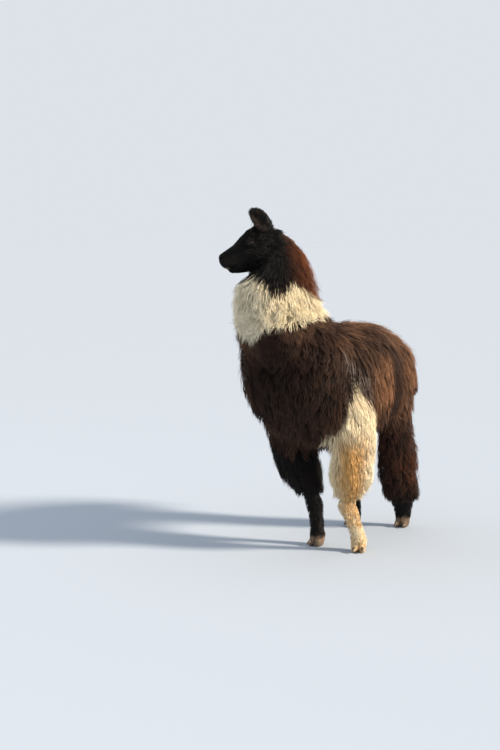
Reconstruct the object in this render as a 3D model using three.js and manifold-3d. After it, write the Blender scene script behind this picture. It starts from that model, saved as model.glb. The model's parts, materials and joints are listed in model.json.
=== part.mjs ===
// A standing llama at life size, long in the wool, looking back to its right with its ears up.
// Millimetres, +Z up. The animal faces -Y, its left side is +X, and its soles stand on z = 0.
// Every solid is the outside of the coat. Each one is a loft of rounded sections along its own line of
// stations, or a union of a few, and neighbours are parted by a thin cut, so that none overlaps another.
import * as THREE from "three";
import { mergeVertices } from "three/addons/utils/BufferGeometryUtils.js";
import Module from "manifold-3d";

const wasm = await Module();
wasm.setup();

// Driving dimensions.
const GAP = 0.35; // clearance between touching parts
const BACK_HEIGHT = 1158; // top of the wool over the ribs
const BELLY_HEIGHT = 525; // underside of the fleece
const RUMP_Y = 352; // back of the haunches
const CHEST_Y = -895; // front of the breast
const BARREL_HALF_WIDTH = 285;
const HEAD_YAW = -62; // degrees, turned to the animal's right
const HEAD_PITCH = 25; // degrees, nose down
const FOOTPRINT_MIDDLE = [-21, -276]; // X and Y
const SKULL = [-143, -813, 1530]; // the middle of the skull between the ears and the jaw
const NOSE_REACH = 232; // from there to the front of the lips
const EAR_BASE = 58; // height of the ears' roots over the same point, square to the face
const EAR_TIP = 172; // and of their tips
const EYE_RADIUS = 17;
const EYE_PLACE = [59, -56, 33]; // out, forward and up from the same point
const TAIL_ROOT_HEIGHT = 985;
const TAIL_LENGTH = 265;
const TOE_LENGTH = 86;
const TOE_HALF_WIDTH = 20;
const TOE_HEIGHT = 44;
const TOE_SPREAD = 19; // from the foot's middle line to each toe's
const NAIL_LENGTH = 36;
const SOLE_CUT = 5; // how much of each toe's round underside is flat

const COLOURS = {
  wool: 0x3a2418,
  face: 0x15110f,
  collar: 0xcfc3a8,
  cream: 0xd2bd90,
  eye: 0x0b0807,
  nail: 0x4a3f36,
};

const LEFT = new THREE.Vector3(1, 0, 0);
const FORWARD = new THREE.Vector3(0, -1, 0);
const DOWN = new THREE.Vector3(0, 0, -1);
const SIDES = { left: 1, right: -1 };
const { degToRad, smoothstep } = THREE.MathUtils;

// One section of a loft: its centre, its half width, and its reach above and below the centre.
function station(x, y, z, wide, above, below) {
  return { at: new THREE.Vector3(x, y, z), size: new THREE.Vector3(wide, above, below) };
}

// How full a rounded end is at a share t of its length, from 0 at the tip to 1.
function fullness(t, power) {
  return t < 1 ? Math.max(0, 1 - (1 - t) ** power) ** (1 / power) : 1;
}

// Lays the rows of a sphere on superellipse sections along a smooth line through the stations. The
// sections face along `across`, or along the line. Their left is `side`, which may turn to `sideEnd`.
function loft(shape, grow = 0) {
  const { stations, around, along, power = 2.2, ends = [0.1, 0.1], endPower = 2.2, across } = shape;
  const { side = LEFT, sideEnd = side } = shape;
  const line = new THREE.CatmullRomCurve3(stations.map((each) => each.at), false, "centripetal");
  const sizes = new THREE.CatmullRomCurve3(stations.map((each) => each.size), false, "centripetal");
  const geometry = new THREE.SphereGeometry(1, around, along);
  const position = geometry.getAttribute("position");
  const columns = around + 1;
  const bulge = (value) => Math.sign(value) * Math.abs(value) ** (2 / power);
  for (let i = 0; i < position.count; i++) {
    const t = (1 - Math.cos((Math.PI * Math.floor(i / columns)) / along)) / 2;
    const angle = (2 * Math.PI * (i % columns)) / around;
    const forward = across ?? line.getTangent(t);
    const left = side.clone().lerp(sideEnd, smoothstep(t, 0.25, 1));
    left.addScaledVector(forward, -left.dot(forward)).normalize();
    const above = forward.clone().cross(left);
    const full = fullness(t / ends[0], endPower) * fullness((1 - t) / ends[1], endPower);
    const size = sizes.getPoint(t).addScalar(grow).multiplyScalar(full);
    const upwards = bulge(Math.sin(angle));
    const point = line.getPoint(t);
    point.addScaledVector(left, -bulge(Math.cos(angle)) * size.x);
    point.addScaledVector(above, upwards * (upwards > 0 ? size.y : size.z));
    if (full === 0) point.addScaledVector(forward, t < 0.5 ? -grow : grow);
    position.setXYZ(i, point.x, point.y, point.z);
  }
  return geometry;
}

// An ellipsoid at a place, turned by Euler angles in degrees.
function ellipsoid([x, y, z], [a, b, c], turn = [0, 0, 0], segments = [8, 6]) {
  const geometry = new THREE.SphereGeometry(1, ...segments);
  geometry.scale(a, b, c);
  geometry.applyMatrix4(new THREE.Matrix4().makeRotationFromEuler(new THREE.Euler(...turn.map(degToRad))));
  return geometry.translate(x, y, z);
}

// A closed three.js geometry as a solid, after an optional placing matrix.
function solid(geometry, matrix = new THREE.Matrix4()) {
  const bare = geometry.clone().applyMatrix4(matrix);
  bare.deleteAttribute("normal");
  bare.deleteAttribute("uv");
  const merged = mergeVertices(bare, 1e-3);
  return new wasm.Manifold(new wasm.Mesh({
    numProp: 3,
    vertProperties: new Float32Array(merged.getAttribute("position").array),
    triVerts: new Uint32Array(merged.index.array),
  }));
}

function join(geometries, matrix) {
  return geometries.map((geometry) => solid(geometry, matrix)).reduce((whole, piece) => whole.add(piece));
}

function toGeometry(body) {
  const mesh = body.getMesh();
  const geometry = new THREE.BufferGeometry();
  geometry.setAttribute("position", new THREE.BufferAttribute(new Float32Array(mesh.vertProperties), 3));
  geometry.setIndex(new THREE.BufferAttribute(new Uint32Array(mesh.triVerts), 1));
  geometry.computeVertexNormals();
  return geometry;
}

function addPart(parent, name, body, colour, roughness = 0.95) {
  const material = new THREE.MeshStandardMaterial({ color: colour, roughness, metalness: 0 });
  const mesh = new THREE.Mesh(toGeometry(body), material);
  mesh.name = name;
  parent.add(mesh);
}

// The origin is the middle of the footprint, which lies here in the stations' own measure.
const llama = new THREE.Group();
llama.position.set(-FOOTPRINT_MIDDLE[0], -FOOTPRINT_MIDDLE[1], 0);

// Trunk: from the haunches to the breast, which leans a little to the right under the turned neck.
const middle = (BACK_HEIGHT + BELLY_HEIGHT) / 2;
const half = (BACK_HEIGHT - BELLY_HEIGHT) / 2;
const trunkShape = {
  around: 26, along: 20, power: 2.35, ends: [0.22, 0.17], endPower: 2.3, across: FORWARD,
  stations: [
    station(2, RUMP_Y, 858, 150, 105, 140),
    station(3, RUMP_Y - 115, 870, 205, 168, 215),
    station(4, RUMP_Y - 330, middle, 246, half - 32, half - 52),
    station(4, RUMP_Y - 565, middle, BARREL_HALF_WIDTH - 5, half, half - 18),
    station(-10, RUMP_Y - 795, middle, BARREL_HALF_WIDTH, half, half),
    station(-32, CHEST_Y + 240, middle + 30, BARREL_HALF_WIDTH - 10, half - 20, half - 20),
    station(-54, CHEST_Y + 90, middle + 130, BARREL_HALF_WIDTH - 32, 215, 252),
    station(-58, CHEST_Y, middle + 190, 204, 160, 165),
  ],
};
const trunkCutter = solid(loft(trunkShape, GAP));
addPart(llama, "trunk", solid(loft(trunkShape)), COLOURS.wool);

// Head, in its own frame: the face looks along -Y, and the origin is the middle of the skull.
const faceYaw = degToRad(HEAD_YAW);
const headMatrix = new THREE.Matrix4().compose(
  new THREE.Vector3(...SKULL),
  new THREE.Quaternion().setFromEuler(new THREE.Euler(degToRad(HEAD_PITCH), 0, faceYaw, "ZYX")),
  new THREE.Vector3(1, 1, 1),
);
const skullShape = {
  around: 18, along: 17, power: 2.25, ends: [0.14, 0.1], across: FORWARD,
  stations: [
    station(0, 62, -5, 58, 58, 80),
    station(0, 10, -4, 73, 88, 108),
    station(0, -45, -2, 72, 97, 108),
    station(0, -92, -2, 57, 84, 90),
    station(0, -142, -4, 46, 66, 62),
    station(0, -192, -4, 41, 55, 40),
    station(0, -NOSE_REACH, 6, 33, 38, 26),
  ],
};
const jawShape = {
  around: 10, along: 9, power: 2.1, ends: [0.3, 0.24], across: FORWARD,
  stations: [
    station(0, -60, -66, 42, 30, 40),
    station(0, -140, -50, 36, 26, 28),
    station(0, 22 - NOSE_REACH, -32, 28, 15, 20),
  ],
};
const headSolids = (grow) => {
  const solids = [loft(skullShape, grow), loft(jawShape, grow)];
  for (const sign of Object.values(SIDES)) {
    const [out, forward, up] = EYE_PLACE;
    const browSize = [17 + grow, 25 + grow, 11 + grow];
    const cheekSize = [32 + grow, 50 + grow, 40 + grow];
    solids.push(ellipsoid([sign * (out - 10), forward + 3, up + 17], browSize, [12, 0, 0]));
    solids.push(ellipsoid([sign * 40, -24, -46], cheekSize, [-20, 0, 0]));
  }
  return solids;
};

// An ear stands up from the back of the skull and hooks forward at its tip. Its section runs fore and
// aft, with its outer side above, where it is hollowed like a scoop.
function earShape(sign, grow) {
  const section = (wide, outer, inner) => (sign > 0 ? [wide, outer, inner] : [wide, inner, outer]);
  return {
    around: 12, along: 10, power: 2, ends: [0.14, 0.3], side: FORWARD,
    stations: [
      station(sign * 40, 30, EAR_BASE - 16, ...section(34, 18, 16)),
      station(sign * 49, 36, EAR_BASE + 28, ...section(39, 17, 17)),
      station(sign * 54, 27, EAR_BASE + 72, ...section(36, 14, 15)),
      station(sign * 47, 8, EAR_TIP, ...section(26, 10, 11)),
    ].map(({ at, size }) => ({ at, size: size.addScalar(grow) })),
  };
}
function earHollow(sign) {
  return {
    around: 10, along: 8, power: 2, ends: [0.3, 0.4], side: FORWARD,
    stations: [
      station(sign * 62, 31, EAR_BASE + 14, 19, 13, 13),
      station(sign * 70, 30, EAR_BASE + 46, 27, 16, 16),
      station(sign * 67, 21, EAR_BASE + 78, 25, 14, 14),
      station(sign * 59, 8, EAR_TIP - 12, 14, 9, 9),
    ],
  };
}

const headGroup = new THREE.Group();
headGroup.applyMatrix4(headMatrix);
llama.add(headGroup);

const mouthSlit = new THREE.BoxGeometry(90, 70, 2.2);
mouthSlit.rotateX(degToRad(-7));
mouthSlit.translate(0, 18 - NOSE_REACH, -19);
const lipCleft = new THREE.BoxGeometry(2.2, 14, 30);
lipCleft.translate(0, -NOSE_REACH - 1, -2);
const headCutter = join(headSolids(GAP));
let head = join(headSolids(0)).subtract(solid(mouthSlit)).subtract(solid(lipCleft));
for (const [side, sign] of Object.entries(SIDES)) {
  const [out, forward, up] = EYE_PLACE;
  const eye = (grow) => {
    const radius = EYE_RADIUS + grow;
    return solid(ellipsoid([sign * out, forward, up], [radius, radius, radius], [0, 0, 0], [14, 9]));
  };
  const nostril = ellipsoid([sign * 25, 14 - NOSE_REACH, 22], [8, 14, 5], [30, 0, sign * -22], [8, 5]);
  head = head.subtract(eye(GAP)).subtract(solid(nostril));
  const ear = solid(loft(earShape(sign, 0))).subtract(headCutter).subtract(solid(loft(earHollow(sign))));
  addPart(headGroup, `eye_${side}`, eye(0), COLOURS.eye, 0.12);
  addPart(headGroup, `ear_${side}`, ear, COLOURS.face);
}
addPart(headGroup, "head", head, COLOURS.face);

// Neck: upright, a bell of wool that widens down to the shoulders and turns with the head at its top.
const neckShape = {
  around: 20, along: 15, power: 2.15, ends: [0.08, 0.16],
  sideEnd: new THREE.Vector3(Math.cos(faceYaw), Math.sin(faceYaw), 0),
  stations: [
    station(-25, -600, 930, 190, 205, 215),
    station(-52, -706, 1060, 216, 222, 228),
    station(-84, -790, 1185, 212, 198, 212),
    station(-84, -805, 1290, 193, 192, 195),
    station(-79, -792, 1385, 156, 176, 146),
    station(-83, -781, 1480, 102, 121, 105),
    station(-92, -785, 1556, 72, 66, 74),
    station(-96, -790, 1612, 52, 38, 46),
  ],
};
let neck = solid(loft(neckShape)).subtract(trunkCutter).subtract(join(headSolids(GAP), headMatrix));
for (const sign of Object.values(SIDES)) neck = neck.subtract(solid(loft(earShape(sign, GAP)), headMatrix));
addPart(llama, "neck", neck, COLOURS.collar);

// Tail: a hanging tuft from the top of the rump, carried a little to the left.
const tailShape = {
  around: 12, along: 11, power: 2, ends: [0.1, 0.3],
  stations: [
    station(2, RUMP_Y - 70, TAIL_ROOT_HEIGHT + 5, 44, 38, 40),
    station(10, RUMP_Y + 4, TAIL_ROOT_HEIGHT - 25, 54, 42, 46),
    station(36, RUMP_Y + 40, TAIL_ROOT_HEIGHT - TAIL_LENGTH * 0.38, 64, 46, 50),
    station(76, RUMP_Y + 58, TAIL_ROOT_HEIGHT - TAIL_LENGTH * 0.76, 54, 40, 42),
    station(108, RUMP_Y + 72, TAIL_ROOT_HEIGHT - TAIL_LENGTH, 22, 18, 20),
  ],
};
addPart(llama, "tail", solid(loft(tailShape)).subtract(trunkCutter), COLOURS.wool);

// Legs: the wool hangs to the knee and the hock, the shank is short-haired, and each foot has two toes.
const LEGS = {
  foreleg_left: {
    toeOut: 24,
    stations: [
      station(110, -560, 900, 80, 105, 105),
      station(182, -540, 770, 92, 110, 110),
      station(196, -520, 650, 104, 120, 130),
      station(174, -502, 520, 112, 118, 130),
      station(154, -480, 390, 116, 112, 125),
      station(130, -454, 305, 76, 66, 78),
      station(110, -432, 240, 49, 50, 50),
      station(131, -380, 140, 39, 38, 41),
      station(139, -352, 66, 42, 38, 42),
      station(140, -350, 14, 36, 36, 40),
    ],
  },
  foreleg_right: {
    toeOut: -6,
    stations: [
      station(-110, -540, 900, 80, 110, 110),
      station(-182, -510, 770, 90, 125, 120),
      station(-190, -472, 650, 112, 164, 135),
      station(-168, -434, 510, 114, 172, 130),
      station(-154, -408, 390, 110, 156, 116),
      station(-128, -374, 300, 76, 94, 70),
      station(-114, -348, 240, 44, 48, 46),
      station(-110, -330, 140, 37, 36, 40),
      station(-107, -322, 66, 42, 38, 42),
      station(-106, -322, 14, 36, 36, 40),
    ],
  },
  hindleg_left: {
    toeOut: 4,
    stations: [
      station(80, 100, 910, 80, 130, 140),
      station(140, 108, 775, 80, 175, 88),
      station(122, 128, 630, 92, 164, 78),
      station(112, 180, 470, 104, 148, 110),
      station(103, 206, 330, 114, 144, 132),
      station(94, 252, 220, 102, 106, 104),
      station(86, 302, 140, 60, 56, 58),
      station(78, 330, 66, 42, 40, 42),
      station(77, 332, 14, 36, 38, 40),
    ],
  },
  hindleg_right: {
    toeOut: -8,
    stations: [
      station(-80, 90, 910, 80, 130, 140),
      station(-150, 100, 775, 84, 175, 135),
      station(-154, 118, 630, 98, 160, 125),
      station(-154, 145, 470, 98, 128, 124),
      station(-160, 160, 340, 84, 110, 108),
      station(-162, 190, 240, 58, 66, 68),
      station(-162, 208, 150, 41, 42, 44),
      station(-161, 216, 66, 40, 40, 42),
      station(-161, 216, 14, 36, 38, 40),
    ],
  },
};

// A toe lies forward of the pastern, and its nail caps the upper front of it.
function toeShape(grow) {
  const height = TOE_HEIGHT / 2;
  return {
    around: 8, along: 6, power: 2.3, ends: [0.3, 0.4], across: FORWARD,
    stations: [
      station(0, 38, height + 6, TOE_HALF_WIDTH + 2, height, height + 6 + SOLE_CUT),
      station(0, -12, height + 2, TOE_HALF_WIDTH, height, height + 2 + SOLE_CUT),
      station(0, 38 - TOE_LENGTH, height - 6, TOE_HALF_WIDTH - 3, height - 8, height - 6 + SOLE_CUT),
    ].map(({ at, size }) => ({ at, size: size.addScalar(grow) })),
  };
}
const nailShape = (grow) => ({
  around: 8, along: 5, power: 2, ends: [0.4, 0.5], side: LEFT,
  stations: [
    station(0, 38 - TOE_LENGTH + NAIL_LENGTH - 10, 31, 7 + grow, 5 + grow, 8 + grow),
    station(0, 38 - TOE_LENGTH + NAIL_LENGTH / 2 - 10, 25, 9 + grow, 6 + grow, 9 + grow),
    station(0, 38 - TOE_LENGTH - 10, 10, 5 + grow, 4 + grow, 5 + grow),
  ],
});

const belowFloor = new THREE.BoxGeometry(1200, 1600, 100).translate(0, 0, -50);
for (const [name, { toeOut, stations }] of Object.entries(LEGS)) {
  const ankle = stations.at(-1).at;
  const shank = loft({ around: 12, along: 15, ends: [0.1, 0.05], across: DOWN, stations });
  let leg = solid(shank).subtract(trunkCutter).subtract(solid(loft(neckShape, GAP)));
  const nails = [];
  for (const [side, sign] of Object.entries(SIDES)) {
    const toeMatrix = new THREE.Matrix4().makeRotationZ(degToRad(toeOut + sign * 5));
    toeMatrix.setPosition(ankle.x, ankle.y - 10, 0);
    toeMatrix.multiply(new THREE.Matrix4().makeTranslation(sign * TOE_SPREAD, 0, 0));
    leg = leg.add(solid(loft(toeShape(0)), toeMatrix)).subtract(solid(loft(nailShape(GAP)), toeMatrix));
    nails.push([`nail_${name}_${side}`, solid(loft(nailShape(0)), toeMatrix)]);
  }
  leg = leg.subtract(solid(belowFloor));
  addPart(llama, name, leg, name === "foreleg_left" ? COLOURS.cream : COLOURS.wool);
  for (const [nailName, nail] of nails) addPart(llama, nailName, nail, COLOURS.nail, 0.5);
}

export default llama;
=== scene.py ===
"""A standing llama in long wool: skin, eyes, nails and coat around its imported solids."""

import json
import math
from contextlib import contextmanager

import bpy
import numpy as np
from mathutils import Euler, Matrix, Vector
from mathutils.bvhtree import BVHTree
from mathutils.kdtree import KDTree

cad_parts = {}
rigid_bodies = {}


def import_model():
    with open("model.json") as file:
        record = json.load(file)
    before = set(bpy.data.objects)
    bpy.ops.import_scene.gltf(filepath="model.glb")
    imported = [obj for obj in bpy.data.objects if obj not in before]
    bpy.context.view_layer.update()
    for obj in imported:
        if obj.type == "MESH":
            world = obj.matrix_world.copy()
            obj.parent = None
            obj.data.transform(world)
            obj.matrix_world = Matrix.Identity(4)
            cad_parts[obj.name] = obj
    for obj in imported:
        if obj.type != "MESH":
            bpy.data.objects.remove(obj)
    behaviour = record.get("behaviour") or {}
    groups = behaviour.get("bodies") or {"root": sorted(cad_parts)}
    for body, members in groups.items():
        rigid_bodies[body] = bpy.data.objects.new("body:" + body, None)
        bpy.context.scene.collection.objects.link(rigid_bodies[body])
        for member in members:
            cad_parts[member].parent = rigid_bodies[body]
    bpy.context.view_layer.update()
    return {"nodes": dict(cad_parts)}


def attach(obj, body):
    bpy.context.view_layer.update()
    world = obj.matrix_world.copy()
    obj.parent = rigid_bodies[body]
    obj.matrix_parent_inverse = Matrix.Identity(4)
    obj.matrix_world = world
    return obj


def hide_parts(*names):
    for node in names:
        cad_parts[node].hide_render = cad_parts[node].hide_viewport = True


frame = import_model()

bl_info = {
    "name": "Woolly llama",
    "version": (1, 0, 0),
    "blender": (4, 5, 0),
    "location": "3D View > Sidebar > Llama",
    "description": "Models the skin, eyes, nails and coat of a standing llama",
    "category": "Add Mesh",
}

SKULL = Vector((-0.122, -0.537, 1.530))  # middle of the skull, between the ears and the jaw
HEAD_TURN = math.radians(-62)
HEAD_DIP = math.radians(25)
HEAD = Matrix.Translation(SKULL) @ Euler((HEAD_DIP, 0, HEAD_TURN), "XYZ").to_matrix().to_4x4()
HEAD_AXES = np.array(HEAD)[:3, :3]
HEAD_LONG = HEAD.to_3x3() @ Vector((0, 1, 0))  # from the muzzle to the back of the skull
EYE_PLACE = (0.059, -0.056, 0.033)  # from the skull's middle, out, forward and up
EYE_RADIUS = 0.0165
IRIS_RADIUS = 0.0110
PUPIL = (0.0068, 0.0034)  # half length and half height of the level pupil
LASH = 0.013
EYE_OPENING = (0.0156, 0.0091, 0.0072)  # half length, and reach of the opening over and under its axis
SKIN_TRIANGLES = 120000
BODY_CUT = 0.30  # the body's skin ends here, and the finer skin of the feet a little higher
FEET_CUT = 0.32
LEG_TRIM = 0.52  # the legs are cut here before the feet's skin is made
PIECE_TRIANGLES = 200000  # no piece may reach this many
PATCH = 0.003  # width of a lock's place on the bake map
DEEPEST_COAT = 0.055
HEAD_CORE = 0.020  # how deep the body's skin runs on inside the head, so that the two join
NECK_AXIS = (-0.060, -0.520)
LEGS = ("foreleg_left", "foreleg_right", "hindleg_left", "hindleg_right")
BODY_NODES = ("trunk", "neck", "tail") + LEGS
HEAD_NODES = ("head", "ear_left", "ear_right")
REGIONS = BODY_NODES + HEAD_NODES
# Middle line of each leg from the top down: x, y and z.
LEG_LINES = {
    "foreleg_left": ((0.203, -0.264, 0.77), (0.217, -0.244, 0.65), (0.195, -0.226, 0.52),
                     (0.175, -0.204, 0.39), (0.146, -0.148, 0.24), (0.160, -0.076, 0.06)),
    "foreleg_right": ((-0.161, -0.234, 0.77), (-0.165, -0.192, 0.65), (-0.139, -0.148, 0.51),
                      (-0.122, -0.120, 0.39), (-0.093, -0.072, 0.24), (-0.086, -0.046, 0.06)),
    "hindleg_left": ((0.167, 0.388, 0.775), (0.153, 0.414, 0.63), (0.133, 0.458, 0.47),
                     (0.125, 0.482, 0.33), (0.106, 0.581, 0.14), (0.098, 0.608, 0.06)),
    "hindleg_right": ((-0.129, 0.376, 0.775), (-0.133, 0.394, 0.63), (-0.133, 0.421, 0.47),
                      (-0.133, 0.436, 0.34), (-0.137, 0.484, 0.15), (-0.139, 0.492, 0.06)),
}
# Each foot's ankle, x and y, and how far its toes turn out.
FEET = ((0.161, -0.074, math.radians(24)), (-0.085, -0.046, math.radians(-6)),
        (0.098, 0.608, math.radians(4)), (-0.140, 0.492, math.radians(-8)))
# Edges of the pale collar, as pairs of the angle round the neck from the front, in degrees, and the height.
COLLAR_TOP = ((-180, 1.25), (-150, 1.27), (-120, 1.31), (-85, 1.285), (-50, 1.335), (-27, 1.356),
              (-10, 1.348), (7, 1.322), (19, 1.291), (27, 1.284), (35, 1.282), (45, 1.309), (57, 1.326),
              (67, 1.316), (78, 1.288), (96, 1.272), (130, 1.262), (180, 1.25))
COLLAR_LOW = ((-180, 1.18), (-130, 1.17), (-90, 1.15), (-50, 1.105), (-36, 1.08), (-24, 1.063), (-13, 1.074),
              (-4, 1.085), (11, 1.119), (21, 1.139), (35, 1.126), (48, 1.125), (58, 1.139), (72, 1.16),
              (86, 1.176), (130, 1.185), (180, 1.18))
# The pale foreleg's height, and the angles round the leg between which it is pale there.
PALE_LEG = ((0.50, -190, 190), (0.548, -61, 190), (0.596, -28, 175), (0.638, -10, 165), (0.675, 5, 150),
            (0.709, 10, 130), (0.748, 21, 110), (0.785, 35, 90), (0.82, 48, 72), (0.84, 60, 60))
GREY_LINE = ((0.255, -0.38, 0.96), (0.289, -0.211, 0.822))  # ends of the line of grey hairs
# Height at which each leg's long wool ends.
WOOL_ENDS = {"foreleg_left": 0.295, "foreleg_right": 0.28, "hindleg_left": 0.155, "hindleg_right": 0.20}
made = {}


# Colour and noise ------------------------------------------------------------------------------

def linear(value):
    """The linear colour of an sRGB hex value."""
    parts = [int(value[i:i + 2], 16) / 255 for i in (1, 3, 5)]
    return np.array([c / 12.92 if c <= 0.04045 else ((c + 0.055) / 1.055) ** 2.4 for c in parts])


def smooth(low, high, value):
    """A soft step from 0 at low to 1 at high, and downwards where high is under low."""
    t = np.clip((value - low) / (high - low), 0, 1)
    return t * t * (3 - 2 * t)


def mix(a, b, share):
    share = np.asarray(share)[..., None]
    return a * (1 - share) + b * share


def hashed(cells, seed):
    """A steady random number from 0 to 1 for each whole-number cell."""
    a = cells.astype(np.int64)
    key = (a[:, 0] * 73856093) ^ (a[:, 1] * 19349663) ^ (a[:, 2] * 83492791) ^ (seed * 2654435761)
    key = (key ^ (key >> 13)) * 1274126177
    return ((key ^ (key >> 16)) & 0xFFFFFF) / float(0xFFFFFF)


def noise(points, size, seed):
    """Smooth noise from -1 to 1 with bumps about as wide as size."""
    at = points / size
    base = np.floor(at)
    part = at - base
    part = part * part * (3 - 2 * part)
    total = np.zeros(len(points))
    for corner in np.ndindex(2, 2, 2):
        share = np.prod(np.where(corner, part, 1 - part), axis=1)
        total += share * hashed(base + np.array(corner), seed)
    return 2 * total - 1


def unit(vectors):
    return vectors / np.maximum(np.linalg.norm(vectors, axis=-1, keepdims=True), 1e-9)


# Properties ------------------------------------------------------------------------------------

def length_prop(name, description, default):
    return bpy.props.FloatProperty(name=name, description=description, default=default, min=0.0,
                                   unit="LENGTH")


def colour_prop(name, description, value):
    return bpy.props.FloatVectorProperty(name=name, description=description, size=3, min=0, max=1,
                                         default=tuple(linear(value)), subtype="COLOR")


class LlamaSizes(bpy.types.PropertyGroup):
    body_lock: length_prop("Body lock", "Length of a lock on the trunk", 0.125)
    collar_lock: length_prop("Collar lock", "Length of a curly lock on the collar", 0.075)
    nape_lock: length_prop("Nape lock", "Length of a lock on the upper neck", 0.085)
    leg_lock: length_prop("Leg lock", "Length of a lock on the upper legs", 0.105)
    tail_lock: length_prop("Tail lock", "Length of a lock on the tail", 0.110)
    face_hair: length_prop("Face hair", "Length of the hair beside the eyes", 0.020)
    shank_hair: length_prop("Shank hair", "Length of the hair under knee and hock", 0.020)


class LlamaColours(bpy.types.PropertyGroup):
    face: colour_prop("Face", "Hair of the face", "#0c0a09")
    lip: colour_prop("Lip", "Pale hairs on the lower lip", "#a89a88")
    inner_ear: colour_prop("Inner ear", "Hair inside the ears", "#4a3a31")
    nape: colour_prop("Nape", "Wool of the upper neck", "#2a1811")
    # Laid mostly on the nape's sunlit rear, so partly painted sunlight.
    nape_tip: colour_prop("Nape tips", "Sun-bleached tips on the nape", "#94522a")
    collar: colour_prop("Collar", "Wool of the collar", "#f6edd6")
    # Painted sunlight: a warmer cream laid on the collar where the sun falls.
    collar_warm: colour_prop("Collar, warm side", "Yellower wool on the collar's left", "#f6e2b8")
    collar_root: colour_prop("Collar roots", "Shaded roots of the collar", "#e2d3ac")
    body: colour_prop("Body", "Wool of the trunk", "#2c1c15")
    body_tip: colour_prop("Body tips", "Weathered tips of the trunk's locks", "#77563f")
    rust: colour_prop("Rust", "Reddish wool on flank and rump", "#ae7b56")
    grey: colour_prop("Grey", "Pale hairs above the white foreleg", "#9a8d84")
    cream: colour_prop("Cream leg", "Wool of the pale foreleg", "#fbe9c4")
    tan: colour_prop("Tan", "Golden wool in the middle of the pale foreleg", "#dcac6a")
    dark_leg: colour_prop("Dark leg", "Wool of the dark foreleg", "#0b0908")
    hind_leg: colour_prop("Hind leg", "Curly wool of the hind legs", "#2a1912")
    hind_tip: colour_prop("Hind leg tips", "Tips on the hind legs", "#60361f")
    toe: colour_prop("Toes", "Pale hair on the toes", "#8f7a66")


# Mesh helpers ----------------------------------------------------------------------------------

def deselect():
    if bpy.context.object and bpy.context.object.mode != "OBJECT":
        bpy.ops.object.mode_set(mode="OBJECT")
    bpy.ops.object.select_all(action="DESELECT")


def activate(obj):
    deselect()
    obj.select_set(True)
    bpy.context.view_layer.objects.active = obj


@contextmanager
def editing(obj, chosen=None, kind=None):
    """Edit Mode on one object, with all of its mesh selected, none of it, or what was."""
    activate(obj)
    bpy.ops.object.mode_set(mode="EDIT")
    if kind:
        bpy.ops.mesh.select_mode(type=kind)
    if chosen:
        bpy.ops.mesh.select_all(action=chosen)
    try:
        yield
    finally:
        bpy.ops.object.mode_set(mode="OBJECT")


def apply_modifier(obj, kind, **settings):
    activate(obj)
    modifier = obj.modifiers.new(kind.title(), kind)
    for key, value in settings.items():
        setattr(modifier, key, value)
    bpy.ops.object.modifier_apply(modifier=modifier.name)


def remesh(obj, size, passes):
    """Rebuilds a surface evenly from voxels of this size, then smooths it."""
    apply_modifier(obj, "REMESH", mode="VOXEL", voxel_size=size)
    apply_modifier(obj, "SMOOTH", factor=0.5, iterations=passes)


def copy_nodes(nodes, name):
    """One mesh object holding welded copies of CAD nodes."""
    deselect()
    copies = []
    for node in nodes:
        source = frame["nodes"][node]
        copy = bpy.data.objects.new(name, source.data.copy())
        bpy.context.collection.objects.link(copy)
        copies.append(copy)
    for copy in copies:
        copy.select_set(True)
    bpy.context.view_layer.objects.active = copies[0]
    if len(copies) > 1:
        bpy.ops.object.join()
    whole = bpy.context.view_layer.objects.active
    whole.name = name
    whole.data.materials.clear()
    with editing(whole, "SELECT"):
        bpy.ops.mesh.remove_doubles(threshold=1e-6)
    return whole


def vertices(mesh):
    out = np.empty(len(mesh.vertices) * 3)
    mesh.vertices.foreach_get("co", out)
    return out.reshape(-1, 3)


def triangles(mesh):
    mesh.calc_loop_triangles()
    out = np.empty(len(mesh.loop_triangles) * 3, dtype=np.int32)
    mesh.loop_triangles.foreach_get("vertices", out)
    return out.reshape(-1, 3)


def set_vertices(mesh, points):
    mesh.vertices.foreach_set("co", points.astype(np.float32).ravel())
    mesh.update()


def vertex_normals(points, faces):
    corner = points[faces]
    face = np.cross(corner[:, 1] - corner[:, 0], corner[:, 2] - corner[:, 0])
    total = np.zeros_like(points)
    for i in range(3):
        for axis in range(3):
            total[:, axis] += np.bincount(faces[:, i], face[:, axis], len(points))
    return unit(total)


def averaged(values, faces, rounds, share=0.5):
    """Values smoothed over the mesh, each towards the mean of its neighbours."""
    a = np.concatenate([faces[:, 0], faces[:, 1], faces[:, 2]])
    b = np.concatenate([faces[:, 1], faces[:, 2], faces[:, 0]])
    count = np.bincount(a, minlength=len(values)) + np.bincount(b, minlength=len(values))
    flat = values.reshape(len(values), -1).copy()
    for _ in range(rounds):
        for axis in range(flat.shape[1]):
            total = np.bincount(a, flat[b, axis], len(flat)) + np.bincount(b, flat[a, axis], len(flat))
            flat[:, axis] += share * (total / np.maximum(count, 1) - flat[:, axis])
    return flat.reshape(values.shape)


def tree_of(obj):
    return BVHTree.FromPolygons(vertices(obj.data).tolist(), triangles(obj.data).tolist())


def nearest(tree, points):
    """For each point: the nearest surface point, its normal, its face and the distance."""
    hits = [tree.find_nearest(point) for point in points.tolist()]
    spots = np.array([hit[0] for hit in hits])
    normals = np.array([hit[1] for hit in hits])
    faces = np.array([hit[2] for hit in hits])
    far = np.array([hit[3] for hit in hits])
    return spots, normals, faces, far


def to_head(points):
    matrix = np.array(HEAD.inverted())
    return points @ matrix[:3, :3].T + matrix[:3, 3]


def from_head(points):
    matrix = np.array(HEAD)
    return points @ matrix[:3, :3].T + matrix[:3, 3]


def leg_middle(leg, heights):
    """Where a leg's middle line is at each height."""
    line = np.array(LEG_LINES[leg])[::-1]
    return np.stack([np.interp(heights, line[:, 2], line[:, axis]) for axis in (0, 1)], axis=-1)


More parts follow.
